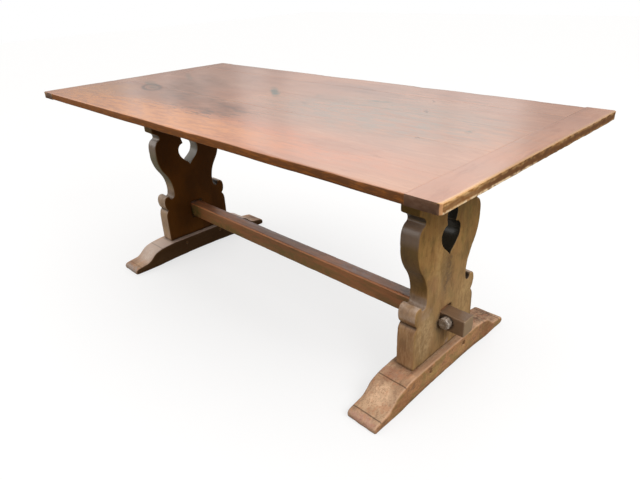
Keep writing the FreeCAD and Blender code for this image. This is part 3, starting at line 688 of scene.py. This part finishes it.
def upright_faces(paint, place, base, inward, sign):
    """The faces of an upright: stained and dirty outside, with painted shade darkening them upwards under the
    top, painted light paling them towards the bottom, and painted shade making them nearly black inside.
    """
    z = paint.apart(place)[2]
    hue = upright_hue(paint, place)
    grubby = paint.drawn(place, (12.0, 30.0, 9.0))
    warm = paint.drawn(place, (5.0, 7.0, 5.0), 3.0, 0.5).between(0.38, 0.62) * z.below(0.35, 0.60)
    base = paint.layers(base, (hue.between(0.50, 0.62) * 0.40, (0.34, 0.160, 0.055)),
                        (hue.below(0.38, 0.48) * 0.40, OLIVE))
    marks = [(tint, (OUTER_FACE * sign, *spot), half_size, 0, strength)
             for tint, spot, half_size, strength in UPRIGHT_MARKS]
    base = marked(paint, place, base, marks, 30.0, (0.0, 0.03, 0.03))
    # Painted shade and light: darker upwards under the top, paler towards the bottom, and nearly black on the
    # inner faces.
    return paint.layers(base, (z.between(0.46, 0.66) * 0.60, (0.095, 0.050, 0.008)),
                        (z.below(0.26, 0.48) * 0.28, (0.46, 0.32, 0.19)),
                        (grubby.between(0.48, 0.62) * 0.34, (0.150, 0.080, 0.030)),
                        (inward * 0.94, paint.mix(warm, (0.105, 0.034, 0.003), (0.185, 0.062, 0.005))))


def sawn_edges(paint, place, base, sign):
    """The sawn edges of an upright, from the knob up to the capital, with painted sheen on the ear, a painted
    highlight on the knob's top, and painted shade in the cusp, the notches and the hollow under the capital.
    The right one's are dark above the knob and painted nearly black as shade in the opening, and the left
    one's, opening too, are painted grey as sheen."""
    y, z = paint.apart(place)[1:]
    edge = sawn(paint)
    low, high, opening = SAWN_COLOURS_AND_LIGHT[sign]
    side_grain = paint.drawn(place, (60.0, 30.0, 14.0))
    low = paint.layers(low, (side_grain.between(0.50, 0.60) * 0.55, (0.17, 0.075, 0.035)),
                       (side_grain.below(0.36, 0.48) * 0.60, (0.52, 0.35, 0.19)))
    high = paint.mix(side_grain.between(0.50, 0.62) * 0.45, high, darker(high, 0.45))
    # Painted light and shade: sheen on the ear, a highlight of uneven strength on the knob's top, and shade in
    # the crease of the cusp.
    bright = 0.25 + 0.60 * upright_hue(paint, place).between(0.38, 0.60)
    base = paint.layers(base, (edge * 0.74, paint.mix(z.between(0.27, 0.34), low, high)),
                        (edge * z.band(*EAR) * 0.55, (0.27, 0.205, 0.175)),
                        (edge * z.band(*KNOB) * bright, (0.60, 0.46, 0.36)),
                        (edge * z.near(CUSP_HEIGHT, 0.002, 0.009) * 0.70, SOOT_AND_SHADE),
                        (edge * z.between(*CAPITAL_HEIGHT) * 0.85, (0.150, 0.088, 0.022)))
    if sign < 0:
        base = paint.mix(edge * z.band(*WAIST) * 0.90, base, (0.150, 0.125, 0.055))
    # Painted shade in the notches and in the hollow under the capital; the opening gets painted shade on the
    # right upright and painted sheen on the left one.
    notch = abs(y).below(0.128, 0.136) * z.band(*NOTCH) * (0.45 + 0.50 * y.between(-0.1, 0.1))
    return paint.layers(base, (edge * notch, SOOT_AND_SHADE), (edge * z.band(*HOLLOW) * 0.85, SOOT_AND_SHADE),
                        (edge * abs(y).below(0.056, 0.060) * z.between(0.39, 0.40) * 0.95, opening))


def upright_finish(side, sign):
    """The uprights: ochre outside, painted nearly black as shade on the inner side and painted darker as shade
    right under the top, and polished by clothes along their sawn edges."""

    def extra(paint, place, base):
        y, z = paint.apart(place)[1:]
        inward = (paint.facing()[0] * -sign).between(0.35, 0.80)
        base = upright_faces(paint, place, base, inward, sign)
        base = sawn_edges(paint, place, base, sign)
        # Painted shade: dark round the mouth of the mortise where the stretcher goes in, and along the foot
        # where the upright stands on it.
        mouth_shade = inward * abs(y).below(0.028, 0.036) * z.near(RAIL_MIDDLE, 0.034, 0.042)
        foot_contact_shade = z.below(FOOT_TOP + 0.002, FOOT_TOP + 0.014)
        return paint.layers(base, (mouth_shade * 0.85, SOOT_AND_SHADE), (foot_contact_shade * 0.6, SOOT_AND_SHADE))

    def polish(paint, place):
        z = paint.apart(place)[2]
        return sawn(paint) * (0.35 + 0.65 * z.between(0.40, 0.50) - z.between(0.563, 0.572))

    def coat(paint, place):
        return polish(paint, place) * 0.945

    def dull(paint, place):
        return polish(paint, place) * -0.45

    return wood("upright_wood_" + side, Z_AXIS, (0.50 * sign, 0.03, 0.0), 0.016,
                shades("upright_pale", "upright_mid", "upright_dark", "upright_pale"),
                figure=(0.05, 0.24, 0.22), mottle=0.46, roughness=0.50, coat=coat, depth=0.0005,
                shift=(0.0, 0.0, 1.9 * sign), extra=extra, specular=0.15, grain=(22.0, 48.0), dull=dull)


# Distances from a foot's middle to its two incised lines.
LINE_PLACES = (0.327, 0.215)


# Where a foot is rubbed bare, the colour of its toes, and how bare it is: the right one's, then the left one's.
TOE_COLOURS = {1: ((0.72, 0.475, 0.30), (0.47, 0.265, 0.19), 0.90),
               -1: ((0.66, 0.56, 0.48), (0.40, 0.33, 0.29), 0.60)}


def foot_marks(sign):
    """Rubbed, rusty and dirty places of a foot, over each toe and along its outer side: colour, centre on a
    right-hand foot, half sizes, turn and strength."""
    bare, toe, rubbed = TOE_COLOURS[sign]
    marks = [(bare, (0.655, -0.268, 0.055), (0.048, 0.060, 0.05), 0, rubbed),
             (toe, (0.659, -0.350, 0.020), (0.07, 0.026, 0.04), 0, 0.85),
             (toe, (0.640, -0.195, 0.084), (0.05, 0.030, 0.03), 0, 0.55),
             ((0.22, 0.11, 0.06), (0.659, 0.250, 0.060), (0.09, 0.150, 0.09), 0, 0.80),
             (SOOT_AND_SHADE, (0.650, 0.325, 0.030), (0.050, 0.040, 0.03), 20, 0.42),
             (SOOT_AND_SHADE, (0.690, 0.225, 0.075), (0.03, 0.030, 0.03), 0, 0.35)]
    for end in (-1, 1):
        marks += [(RUST, (0.640, 0.195 * end, 0.085), (0.035, 0.035, 0.03), 0, 0.35),
                  (RUST, (FOOT_SIDE, 0.240 * end, 0.030), (0.01, 0.060, 0.05), 0, 0.45),
                  (SOOT_AND_SHADE, (FOOT_SIDE, 0.120 * end, 0.012), (0.01, 0.140, 0.016), 0, 0.45),
                  (OCHRE, (FOOT_SIDE, 0.080 * end, 0.050), (0.01, 0.060, 0.03), 0, 0.45)]
    return [(tint, (x * sign, y, z), half_size, turn, strength)
            for tint, (x, y, z), half_size, turn, strength in marks]


def foot_finish(side, sign):
    """The feet: rubbed bare over the curve of each toe, brown along the sides, dark in the incised lines, with
    painted shade making the inner side nearly black and darkening the top round the upright and beside the
    tenon.
    """

    def extra(paint, place, base):
        x, y = paint.apart(place)[:2]
        nx, nz = paint.facing()[::2]
        outwards, reach, up = nx * sign, abs(y), nz.between(0.5, 0.8)
        patchy = paint.drawn(place, (30.0, 17.0, 26.0), 4.0, 0.68)
        speckle = paint.drawn(place, (190.0, 150.0, 150.0), 4.0, 0.75)
        glow = paint.drawn(place, (60.0, 40.0, 40.0), shift=(5.0, 0.0, 0.0))
        side_wood = paint.layers((0.50, 0.235, 0.095), (patchy.between(0.44, 0.56), (0.33, 0.200, 0.065)),
                                 (patchy.below(0.34, 0.44) * 0.6, (0.13, 0.070, 0.035)))
        base = paint.mix(outwards.between(0.4, 0.8) * 0.80, base, side_wood)
        base = marked(paint, place, base, foot_marks(sign), 34.0, (0.03, 0.04, 0.03))
        base = paint.layers(base, (speckle.between(0.53, 0.62) * 0.50, (0.25, 0.105, 0.050)),
                            (glow.between(0.52, 0.62) * nz.between(0.2, 0.6) * 0.50, (0.50, 0.235, 0.125)))
        if sign < 0:
            base = paint.mix(nz.between(0.3, 0.7) * reach.below(0.22, 0.34) * 0.75, base, (0.74, 0.61, 0.53))
        arris = outwards.between(0.18, 0.45) * nz.between(0.25, 0.55) * (1.1 - patchy).clipped()
        first, second = (reach.near(line, 0.0006, 0.0034) for line in LINE_PLACES)
        lines = (first + second).clipped() * nz.between(0.2, 0.5) * (0.55 + 0.30 * patchy)
        outside = (x * sign).between(OUTER_FACE - 0.001, OUTER_FACE + 0.009)
        # The pale strip beside the upright fades from under the tenon rearwards, as painted shadow of the
        # tenon.
        strip = outside * up * reach.below(0.17, 0.21) * (1 - 0.55 * y.between(-0.05, 0.06))
        # Painted shade: the inner side nearly black, and the top darker round the upright.
        return paint.layers(base, (arris * 0.80, (0.66, 0.41, 0.26)),
                            ((outwards * -1).between(0.4, 0.8) * 0.92, (0.075, 0.032, 0.006)),
                            (lines * (1.0 if sign > 0 else 0.5), (0.055, 0.030, 0.018)),
                            (strip * (0.35 + 0.5 * patchy), (0.66, 0.39, 0.235)),
                            (reach.below(0.158, 0.168) * up * 0.30, user_colour("foot_dark")))

    return wood("foot_wood_" + side, Y_AXIS, (0.62 * sign, 0.0, -0.05), 0.012,
                shades("foot_pale", "foot_mid", "foot_dark", "foot_pale"), figure=(0.12, 0.34, 0.28),
                mottle=0.40, roughness=0.50, depth=0.0009, shift=(0.0, 5.1 * sign, 0.0), extra=extra,
                specular=0.2, grain=(40.0, 90.0))


def rail_marks():
    """Stained and rubbed places along the stretcher's front and top, with lilac patches of painted sheen along
    its top and a darker patch on its top beside the right upright.
    """
    front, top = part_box("stretcher")[0].y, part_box("stretcher")[1].z
    return (
        (OLIVE, (-0.595, front, 0.195), (0.045, 0.03, 0.05), 0, 0.95),
        (OLIVE, (-0.36, front, 0.175), (0.16, 0.02, 0.025), 0, 0.60),
        (OLIVE, (0.10, front, 0.180), (0.30, 0.02, 0.030), 0, 0.50),
        (RUST, (-0.10, -0.010, top), (0.45, 0.02, 0.02), 0, 0.55),
        # Painted sheen: lilac patches along the back of the top.
        (LILAC, (0.33, 0.004, top), (0.12, 0.03, 0.02), 0, 0.50),
        (LILAC, (-0.22, 0.016, top), (0.30, 0.014, 0.02), 0, 0.45),
        (SOOT_AND_SHADE, (0.57, 0.0, top), (0.10, 0.03, 0.02), 0, 0.50),
    )


def rail_finish():
    """The stretcher: reddish brown, with an orange line along each rubbed arris, strongest along the front top
    one, where it is partly a painted highlight, and painted shade round the pegs. Its tenons stayed brown.
    """

    def extra(paint, place, base):
        x, z = paint.apart(place)[::2]
        nx, ny, nz = paint.facing()
        hue = paint.drawn(place, (9.0, 40.0, 34.0), 4.0, 0.68)
        side = paint.mix(hue.between(0.46, 0.58), (0.36, 0.150, 0.055), (0.235, 0.140, 0.045))
        base = paint.layers(base, (abs(ny).between(0.5, 0.8) * 0.62, side),
                            (nz.between(0.5, 0.8) * hue.between(0.42, 0.60) * 0.40, (0.13, 0.060, 0.040)))
        base = marked(paint, place, base, rail_marks(), 20.0, (0.08, 0.01, 0.01))
        # The bright orange line along the front top arris is partly rubbed wear and partly a painted highlight.
        arris = (ny * -1).between(0.15, 0.40) * nz.between(0.15, 0.40)
        broken = paint.drawn(place, (22.0, 60.0, 60.0), 3.0, 0.5).between(0.25, 0.55)
        # Painted shade in a ring round each peg.
        away = ((abs(x) - PEG_PLACE[0]) ** 2 + (z - PEG_PLACE[1]) ** 2) ** 0.5
        peg_shade = away.below(0.019, 0.031) * abs(ny).between(0.5, 0.8)
        sawn_end = abs(nx).between(0.6, 0.9) * abs(x).between(0.74, 0.76)
        return paint.layers(base, (arris * (0.35 + 0.55 * broken), (0.72, 0.29, 0.12)),
                            (tenons(paint, place) * 0.90, (0.19, 0.120, 0.070)),
                            (peg_shade * 0.80, SOOT_AND_SHADE), (sawn_end * 0.75, (0.33, 0.225, 0.125)))

    def rub(paint, place):
        return paint.mix(tenons(paint, place), user_colour("rail_pale"), (0.34, 0.245, 0.165))

    def tenons(paint, place):
        return abs(paint.apart(place)[0]).between(OUTER_FACE - 0.009, OUTER_FACE - 0.001)

    def coat(paint, place):
        return 0.15 + 0.20 * paint.facing()[2].between(0.5, 0.8)

    return wood("stretcher_wood", X_AXIS, (0.0, 0.06, 0.12), 0.010,
                shades("rail_pale", "rail_mid", "rail_dark", "rail_pale"), figure=(0.15, 0.35, 0.20),
                mottle=0.25, roughness=0.38, coat=coat, extra=extra, rub=rub)


def tusk_finish():
    colours = (0.42, 0.35, 0.29), (0.26, 0.20, 0.155), user_colour("upright_dark"), (0.62, 0.56, 0.50)

    def coat(paint, place):
        return 0.4 + 0.4 * paint.noise(place, 90.0, 2.0, 0.5)

    return wood("tusk_wood", Y_AXIS, (0.7, 0.0, 0.18), 0.006, colours, figure=(0.45, 0.50, 0.35), mottle=0.70,
                roughness=0.30, coat=coat, depth=0.0005)


def plain_finish(name, axis, pith, colours):
    """A finish for pieces that are hardly seen, in a pale, a middle and a dark colour."""
    return wood(name, axis, pith, 0.012, (*colours, colours[0]), roughness=0.75, depth=0.0005, specular=0.08)


def screw_finish():
    material, paint = new_material("screw_steel")
    spots = paint.noise(paint.place(), 300.0, 3.0, 0.5)
    base = paint.mix(spots.between(0.45, 0.65), (0.20, 0.18, 0.16), (0.42, 0.40, 0.38))
    paint.surface(Base_Color=base, Metallic=0.9, Roughness=0.35 + 0.3 * spots,
                  Normal=paint.bump(spots, 0.0001))
    return material


# ---- the top

def board_mesh(name, low, high, rounds, axis, dips):
    """A board as a rounded section carried along its length, with its ends closed.

    Every point moves inwards, against its normal, by what dips gives for it."""
    across, inset = 1 - axis, 0.0008
    along_step, across_step = 0.009, 0.007
    places = stations(low[axis], high[axis], along_step, inset)
    section, normals = rounded_section((low[across], low.z), (high[across], high.z), rounds, across_step)
    rows, columns = len(places), len(section)
    tuck = np.zeros(rows)
    tuck[[0, -1]], tuck[[1, -2]] = inset * 0.7, inset * 0.2
    points, facing = np.zeros((rows, columns, 3)), np.zeros((rows, columns, 3))
    points[..., axis] = places[:, None]
    points[..., [across, Z_AXIS]] = section - normals * tuck[:, None, None]
    facing[..., [across, Z_AXIS]] = normals
    moved, wear = dips(points.reshape(-1, 3), facing.reshape(-1, 3))
    faces = tube_faces(rows, columns)
    ends = [list(range(columns - 1, -1, -1)), list(range((rows - 1) * columns, rows * columns))]
    if axis == X_AXIS:
        faces = faces[:, ::-1]
        ends = [end[::-1] for end in ends]
    mesh = bpy.data.meshes.new(name)
    mesh.from_pydata(moved.tolist(), [], faces.tolist() + ends)
    changed(mesh, lambda opened: bmesh.ops.recalc_face_normals(opened, faces=opened.faces))
    set_wear(mesh, wear)
    return mesh


def top_hollows(points, depth):
    """How far the top dips below flat: long shallow hollows along the boards, and a few small dents."""
    hollows = noise(points, (0.30, 0.06, 1.0), 3) * 0.5 + 0.5
    ripples = noise(points, (0.10, 0.022, 1.0), 5) * 0.5 + 0.5
    return depth * (0.7 * hollows + 0.3 * ripples)


def chipped(points):
    """Where the outer arrises have lost wood, from 0 to 1."""
    runs = ramp(noise(points, (0.11, 0.11, 1.0), 71), 0.0, 0.6)
    bites = ramp(noise(points, (0.020, 0.020, 1.0), 73), 0.0, 0.7)
    return runs * (0.45 + 0.55 * bites)


def board_dips(index, outer_y):
    """The way one board of the top is worn: hollows above, and dips and nicks along its outer edge."""
    wear_set = bpy.context.scene.table_wear
    nick_depth = 0.0012

    def dips(points, facing):
        up = np.clip(facing[:, 2], 0, 1)
        moved = points.copy()
        settle = 0.00025 * (index % 2)
        moved[:, 2] -= up * (top_hollows(points, wear_set.top_waviness) + settle)
        rubbed = np.zeros(len(points))
        if outer_y is not None:
            inland = np.abs(points[:, 1] - outer_y)
            moved[:, 2] -= up * ramp(-inland, -0.010, -0.001) * chipped(points) * wear_set.chip_depth
            near = ramp(-inland, -0.012, -0.001)
            wave = noise(points, (0.075, 1.0, 0.05), 11) * 0.5 + 0.5
            nicks = ramp(noise(points, (0.028, 1.0, 0.02), 13 + index), 0.45, 0.9)
            depth = near * (wave * wear_set.edge_waviness + nicks * nick_depth)
            moved[:, 1] -= np.sign(outer_y) * depth
            arris = ramp(facing[:, 2], 0.2, 0.6) * ramp(-facing[:, 2], -0.97, -0.8)
            rubbed += arris * (0.5 + 0.3 * wave)
        return moved, rubbed

    return dips


class TABLE_OT_top_boards(bpy.types.Operator):
    """Make the boards of the top, worn hollow and rounded along the outside"""

    bl_idname = "table.top_boards"
    bl_label = "Top boards"

    def execute(self, context):
        wear_set = context.scene.table_wear
        seam_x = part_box("breadboard_end_right")[0].x
        for index, name in enumerate(BOARDS):
            node = "top_board_" + name
            low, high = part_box(node)
            low.x, high.x = -seam_x, seam_x
            left, right = (wear_set.edge_round if name == outside else wear_set.seam_round
                           for outside in ("front", "rear"))
            outer_y = {"front": low.y, "rear": high.y}.get(name)
            mesh = board_mesh(node + "_worn", low, high, (left, right, right, left), X_AXIS,
                              board_dips(index, outer_y))
            finished(mesh, node + "_worn", top_finish(index), "table", [node])
        return {"FINISHED"}


def end_board_dips(low, high, sign):
    """The way a breadboard end is worn: rounded corners, and an outer edge hewn hollow with ragged lips."""
    wear_set = bpy.context.scene.table_wear
    outer_x = high.x if sign > 0 else low.x
    middle_z = (low.z + high.z) / 2
    corner, lip_drop = 0.009, 0.0020

    def dips(points, facing):
        moved = points.copy()
        up = np.clip(facing[:, 2], 0, 1)
        moved[:, 2] -= up * top_hollows(points, wear_set.top_waviness)
        beyond = np.clip(np.abs(points[:, 1]) - (high.y - corner), 0, corner)
        pulled = corner - np.sqrt(corner ** 2 - beyond ** 2)
        inland = np.abs(points[:, 0] - outer_x)
        near = ramp(-inland, -0.012, -0.002)
        height = (points[:, 2] - middle_z) / (high.z - middle_z)
        chop = noise(points, (1.0, 0.014, 0.008), 21) * 0.5 + 0.5
        swing = noise(points, (1.0, 0.085, 1.0), 23) * 0.5 + 0.5
        hollow = ramp(-np.abs(height), -0.95, -0.45)
        depth = near * wear_set.hewn_depth * (hollow * (0.25 + 0.75 * chop) + 0.30 * swing * chop)
        moved[:, 0] -= sign * (near * pulled + depth)
        beside = ramp(-inland, -0.010, -0.001)
        moved[:, 2] -= up * beside * chipped(points + 5.0) * 0.6 * wear_set.chip_depth
        moved[:, 2] -= ramp(-height, 0.60, 1.0) * near * lip_drop * ramp(chop * swing, 0.10, 0.5)
        lip = near * ramp(np.abs(height), 0.80, 0.98) * (0.35 + 0.65 * ramp(height + swing, -0.6, 0.6))
        return moved, lip * (0.55 + 0.9 * chop)

    return dips


class TABLE_OT_breadboard_ends(bpy.types.Operator):
    """Make the two breadboard ends, hewn along their outer edges"""

    bl_idname = "table.breadboard_ends"
    bl_label = "Breadboard ends"

    def execute(self, context):
        wear_set = context.scene.table_wear
        for side, sign in SIDES.items():
            node = "breadboard_end_" + side
            low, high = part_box(node)
            seam, edge = wear_set.seam_round, wear_set.edge_round
            left, right = (seam, edge) if sign > 0 else (edge, seam)
            mesh = board_mesh(node + "_worn", low, high, (left, right, right, left), Y_AXIS,
                              end_board_dips(low, high, sign))
            finished(mesh, node + "_worn", end_board_finish(side, sign), "table", [node])
        return {"FINISHED"}


# ---- uprights, feet, stretcher and pegs

MERGE_DISTANCE = 0.00001

# An arris counts as fully worn once it has moved in by this share of a voxel.
FULL_WEAR = 0.35

# How much of the denting is fine, and the fine dents' size beside the coarse ones. Nicks go deeper than dents
# by a factor.
FINE_SHARE, FINE_SIZE, NICK_SIZE, NICK_DEPTH = 0.35, 0.37, 0.016, 1.6


def worn_mesh(node, voxel, turns, waviness, seed, sizes):
    """A node's solid rubbed down: laid out again as an even mesh, relaxed until its arrises are round, and
    dented along its normals by noise. Points that moved in were arrises, and points that moved out corners."""
    even = placed("even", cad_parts[node].data.copy())
    changed(even.data, lambda opened: bmesh.ops.remove_doubles(opened, verts=opened.verts, dist=MERGE_DISTANCE))
    remesh = even.modifiers.new("Remesh", "REMESH")
    remesh.mode, remesh.voxel_size = "VOXEL", voxel
    mesh = bpy.data.meshes.new_from_object(even.evaluated_get(bpy.context.evaluated_depsgraph_get()))
    bpy.data.objects.remove(even)
    before = array_of(mesh.vertices, "co", 3).astype(float)
    edges = array_of(mesh.edges, "vertices", 2)
    points = relaxed(before, edges, turns)
    set_points(mesh, points)
    normals = array_of(mesh.vertex_normals, "vector", 3)
    moved_in = ((before - points) * normals).sum(1)
    wear = relaxed(np.repeat(moved_in[:, None], 3, 1), edges, 2)[:, 0] / (FULL_WEAR * voxel)
    coarse, fine = noise(points, sizes, seed), noise(points, np.array(sizes) * FINE_SIZE, seed + 1)
    dents = coarse * (1 - FINE_SHARE) + fine * FINE_SHARE
    nicks = ramp(noise(points, (NICK_SIZE,) * 3, seed + 2), 0.15, 0.8) * np.clip(wear, 0, 1)
    inwards = (0.6 - dents) * waviness + nicks * NICK_DEPTH * waviness
    set_points(mesh, kept_inside(points - normals * inwards[:, None], node))
    set_wear(mesh, wear)
    return mesh


def worn_plank(node, seed, sizes, material):
    """Makes an upright, a foot or the stretcher again, rubbed down, as a piece that rides with the table."""
    wear_set = bpy.context.scene.table_wear
    mesh = worn_mesh(node, wear_set.plank_voxel, wear_set.softening, wear_set.plank_waviness, seed, sizes)
    finished(mesh, node + "_worn", material, "table", [node])


class TABLE_OT_uprights(bpy.types.Operator):
    """Make the two sawn uprights, their arrises rubbed round"""

    bl_idname = "table.uprights"
    bl_label = "Uprights"

    def execute(self, context):
        for side, sign in SIDES.items():
            finish = upright_finish(side, sign)
            worn_plank("upright_" + side, 31 + sign, (0.05, 0.035, 0.12), finish)
        return {"FINISHED"}


class TABLE_OT_feet(bpy.types.Operator):
    """Make the two feet, worn on their toes"""

    bl_idname = "table.feet"
    bl_label = "Feet"

    def execute(self, context):
        for side, sign in SIDES.items():
            worn_plank("foot_" + side, 41 + sign, (0.03, 0.08, 0.03), foot_finish(side, sign))
        return {"FINISHED"}


class TABLE_OT_stretcher(bpy.types.Operator):
    """Make the stretcher, its arrises worn by feet"""

    bl_idname = "table.stretcher"
    bl_label = "Stretcher"

    def execute(self, context):
        worn_plank("stretcher", 51, (0.16, 0.03, 0.03), rail_finish())
        return {"FINISHED"}


class TABLE_OT_tusk_pegs(bpy.types.Operator):
    """Make the two tusk pegs, whittled, polished by handling and worn short behind the tenon"""

    bl_idname = "table.tusk_pegs"
    bl_label = "Tusk pegs"

    def execute(self, context):
        voxel, turns, waviness, worn_off = context.scene.table_wear.peg_voxel, 6, 0.0003, 0.55
        material = tusk_finish()
        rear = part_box("stretcher")[1].y
        for side in SIDES:
            node = "tusk_peg_" + side
            mesh = worn_mesh(node, voxel, turns, waviness, 61, (0.012, 0.03, 0.012))
            points = array_of(mesh.vertices, "co", 3)
            points[:, 1] -= np.clip(points[:, 1] - rear, 0, None) * worn_off
            set_points(mesh, points)
            finished(mesh, node + "_worn", material, side + "_tusk", [node])
        return {"FINISHED"}


class TABLE_OT_joinery(bpy.types.Operator):
    """Finish the bearers, the drive pegs and the screws"""

    bl_idname = "table.joinery"
    bl_label = "Hidden joinery"

    def execute(self, context):
        mid, dark = shades("upright_mid", "upright_dark")
        bearer = plain_finish("bearer_wood", Y_AXIS, (0.6, 0.0, 0.60),
                              ((0.50, 0.32, 0.09), (0.40, 0.25, 0.06), (0.17, 0.10, 0.03)))
        peg = plain_finish("peg_wood", X_AXIS, (0.0, 0.0, 0.0), (mid, (0.12, 0.065, 0.03), dark))
        foot_peg = plain_finish("foot_peg_wood", X_AXIS, (0.0, 0.2, 0.0),
                                ((0.28, 0.15, 0.07), (0.22, 0.115, 0.05), (0.14, 0.07, 0.03)))
        wanted = {"bearer": bearer, "bearer_joint_pegs": peg, "foot_joint_pegs": foot_peg,
                  "breadboard_pegs": peg, "top_screws": screw_finish()}
        for name, material in wanted.items():
            for side in SIDES:
                set_material(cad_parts[name + "_" + side].data, material)
        return {"FINISHED"}


# ---- stage

# Gaps between the soft cards behind the table, which its polish mirrors as darker bands: bearing in degrees
# from +Y, half width and strength.
GAPS = ((-62.3, 1.6, 0.90), (-58.9, 1.9, 0.88), (-55.2, 2.7, 0.95), (-49.6, 1.3, 0.60), (-31.5, 1.0, 0.35))


def backdrop_share(paint):
    """How far a ray sees the plain backdrop: fully for the camera and through glass, a little in gloss."""
    ray = paint.node("ShaderNodeLightPath", {}, {}, "Is Camera Ray")
    return (ray + ray.part("Is Transmission Ray") + 0.15 * ray.part("Is Glossy Ray")).clipped()


def sky():
    """A soft studio sky: bright above and dark below, with a row of soft cards behind the table and a wide one
    to its left front. It is white where it is seen directly."""
    world = bpy.data.worlds.new("studio")
    bpy.context.scene.world = world
    world.use_nodes = True
    paint = Paint(world.node_tree)
    x, y, up = paint.apart(paint.node("ShaderNodeTexCoord", {}, {}, "Generated"))
    bearing = x.maths("ARCTAN2", x, y) * math.degrees(1.0)
    gaps = sum(strength * bearing.near(centre, 0.35 * half, half) for centre, half, strength in GAPS)
    behind = bearing.band(-65.3, -64.3, -25.0, -23.0) * up.between(0.02, 0.36) * (1 - gaps)
    front = bearing.near(-130.0, 20.0, 48.0) * up.band(0.0, 0.15, 0.5, 0.8)
    strength = 0.02 + 0.10 * up.between(-0.05, 0.05) + 0.45 * up.between(0.08, 0.45)
    strength = strength + 0.75 * up.between(0.4, 1.0) + 0.82 * behind + 1.25 * front
    seen = paint.node("ShaderNodeBackground", {}, {"Color": (1, 1, 1, 1), "Strength": 1.0})
    lit = paint.node("ShaderNodeBackground", {}, {"Color": (1.0, 0.98, 0.955, 1), "Strength": strength})
    both = paint.node("ShaderNodeMixShader", {}, {0: backdrop_share(paint), 1: lit, 2: seen})
    paint.end(both, "ShaderNodeOutputWorld")


def floor():
    """A wide pale floor. Seen directly it is nearly white, with the table's soft shadow, and it throws only a
    little light back up."""
    half, level = 14.0, -0.0002
    mesh = bpy.data.meshes.new("floor")
    corners = [(-half, -half, level), (half, -half, level), (half, half, level), (-half, half, level)]
    mesh.from_pydata(corners, [], [(0, 1, 2, 3)])
    piece = placed("floor", mesh)
    material, paint = new_material("floor")
    glow = paint.node("ShaderNodeEmission", {}, {"Color": (1, 1, 1, 1), "Strength": 1.0})
    pale = paint.node("ShaderNodeBsdfDiffuse", {}, {"Color": (0.92, 0.92, 0.92, 1)})
    dim = paint.node("ShaderNodeBsdfDiffuse", {}, {"Color": (0.16, 0.14, 0.11, 1)})
    seen = paint.node("ShaderNodeMixShader", {}, {0: 0.30, 1: glow, 2: pale})
    paint.end(paint.node("ShaderNodeMixShader", {}, {0: backdrop_share(paint), 1: dim, 2: seen}))
    mesh.materials.append(material)


def soft_light(name, place, target, size, power):
    light = bpy.data.lights.new(name, "AREA")
    light.shape, light.size, light.energy = "DISK", size, power
    lamp = placed(name, light)
    lamp.location = place
    lamp.rotation_euler = (Vector(target) - Vector(place)).to_track_quat("-Z", "Y").to_euler()


def camera():
    """The view: place, azimuth, tilt down and roll of the camera, and a focal length in pixels."""
    place = Vector((1.37297, -1.17465, 1.11853))
    azimuth, down, roll = (math.radians(a) for a in (-45.7213, 26.3269, -2.5123))
    focal_px, width_px, sensor_mm = 528.64, 640.0, 36.0
    view = Matrix.Translation(place)
    for angle, axis in ((-azimuth, "Z"), (math.pi / 2 - down, "X"), (roll, "Z")):
        view = view @ Matrix.Rotation(angle, 4, axis)
    data = bpy.data.cameras.new("camera")
    data.sensor_width, data.sensor_fit = sensor_mm, "HORIZONTAL"
    data.lens = sensor_mm * focal_px / width_px
    eye = placed("camera", data)
    eye.matrix_world = view
    bpy.context.scene.camera = eye


class TABLE_OT_stage(bpy.types.Operator):
    """Set up the floor, the sky, the lamps and the camera"""

    bl_idname = "table.stage"
    bl_label = "Stage"

    def execute(self, context):
        context.scene.view_settings.view_transform = "Standard"
        sky()
        floor()
        soft_light("key", (4.2, -0.6, 3.4), (0.3, 0.0, 0.5), 3.0, 120.0)
        camera()
        return {"FINISHED"}


class TABLE_PT_panel(bpy.types.Panel):
    """Lists the table's pieces, its sizes and its colours"""

    bl_idname = "TABLE_PT_panel"
    bl_label = "Trestle dining table"
    bl_space_type = "VIEW_3D"
    bl_region_type = "UI"
    bl_category = "Table"

    def draw(self, context):
        for operator in OPERATORS:
            self.layout.operator(operator.bl_idname)
        for group in (context.scene.table_wear, context.scene.table_colours):
            box = self.layout.box()
            for name in group.bl_rna.properties.keys():
                if name not in ("rna_type", "name"):
                    box.prop(group, name)


OPERATORS = (TABLE_OT_stage, TABLE_OT_top_boards, TABLE_OT_breadboard_ends, TABLE_OT_uprights, TABLE_OT_feet,
             TABLE_OT_stretcher, TABLE_OT_tusk_pegs, TABLE_OT_joinery)
CLASSES = (TableWear, TableColours, *OPERATORS, TABLE_PT_panel)


def register():
    for made in CLASSES:
        bpy.utils.register_class(made)
    bpy.types.Scene.table_wear = bpy.props.PointerProperty(type=TableWear)
    bpy.types.Scene.table_colours = bpy.props.PointerProperty(type=TableColours)


def unregister():
    del bpy.types.Scene.table_wear
    del bpy.types.Scene.table_colours
    for made in reversed(CLASSES):
        bpy.utils.unregister_class(made)


def main():
    register()
    bpy.ops.table.stage()
    bpy.ops.table.top_boards()
    bpy.ops.table.breadboard_ends()
    bpy.ops.table.uprights()
    bpy.ops.table.feet()
    bpy.ops.table.stretcher()
    bpy.ops.table.tusk_pegs()
    bpy.ops.table.joinery()


if __name__ == "__main__":
    main()
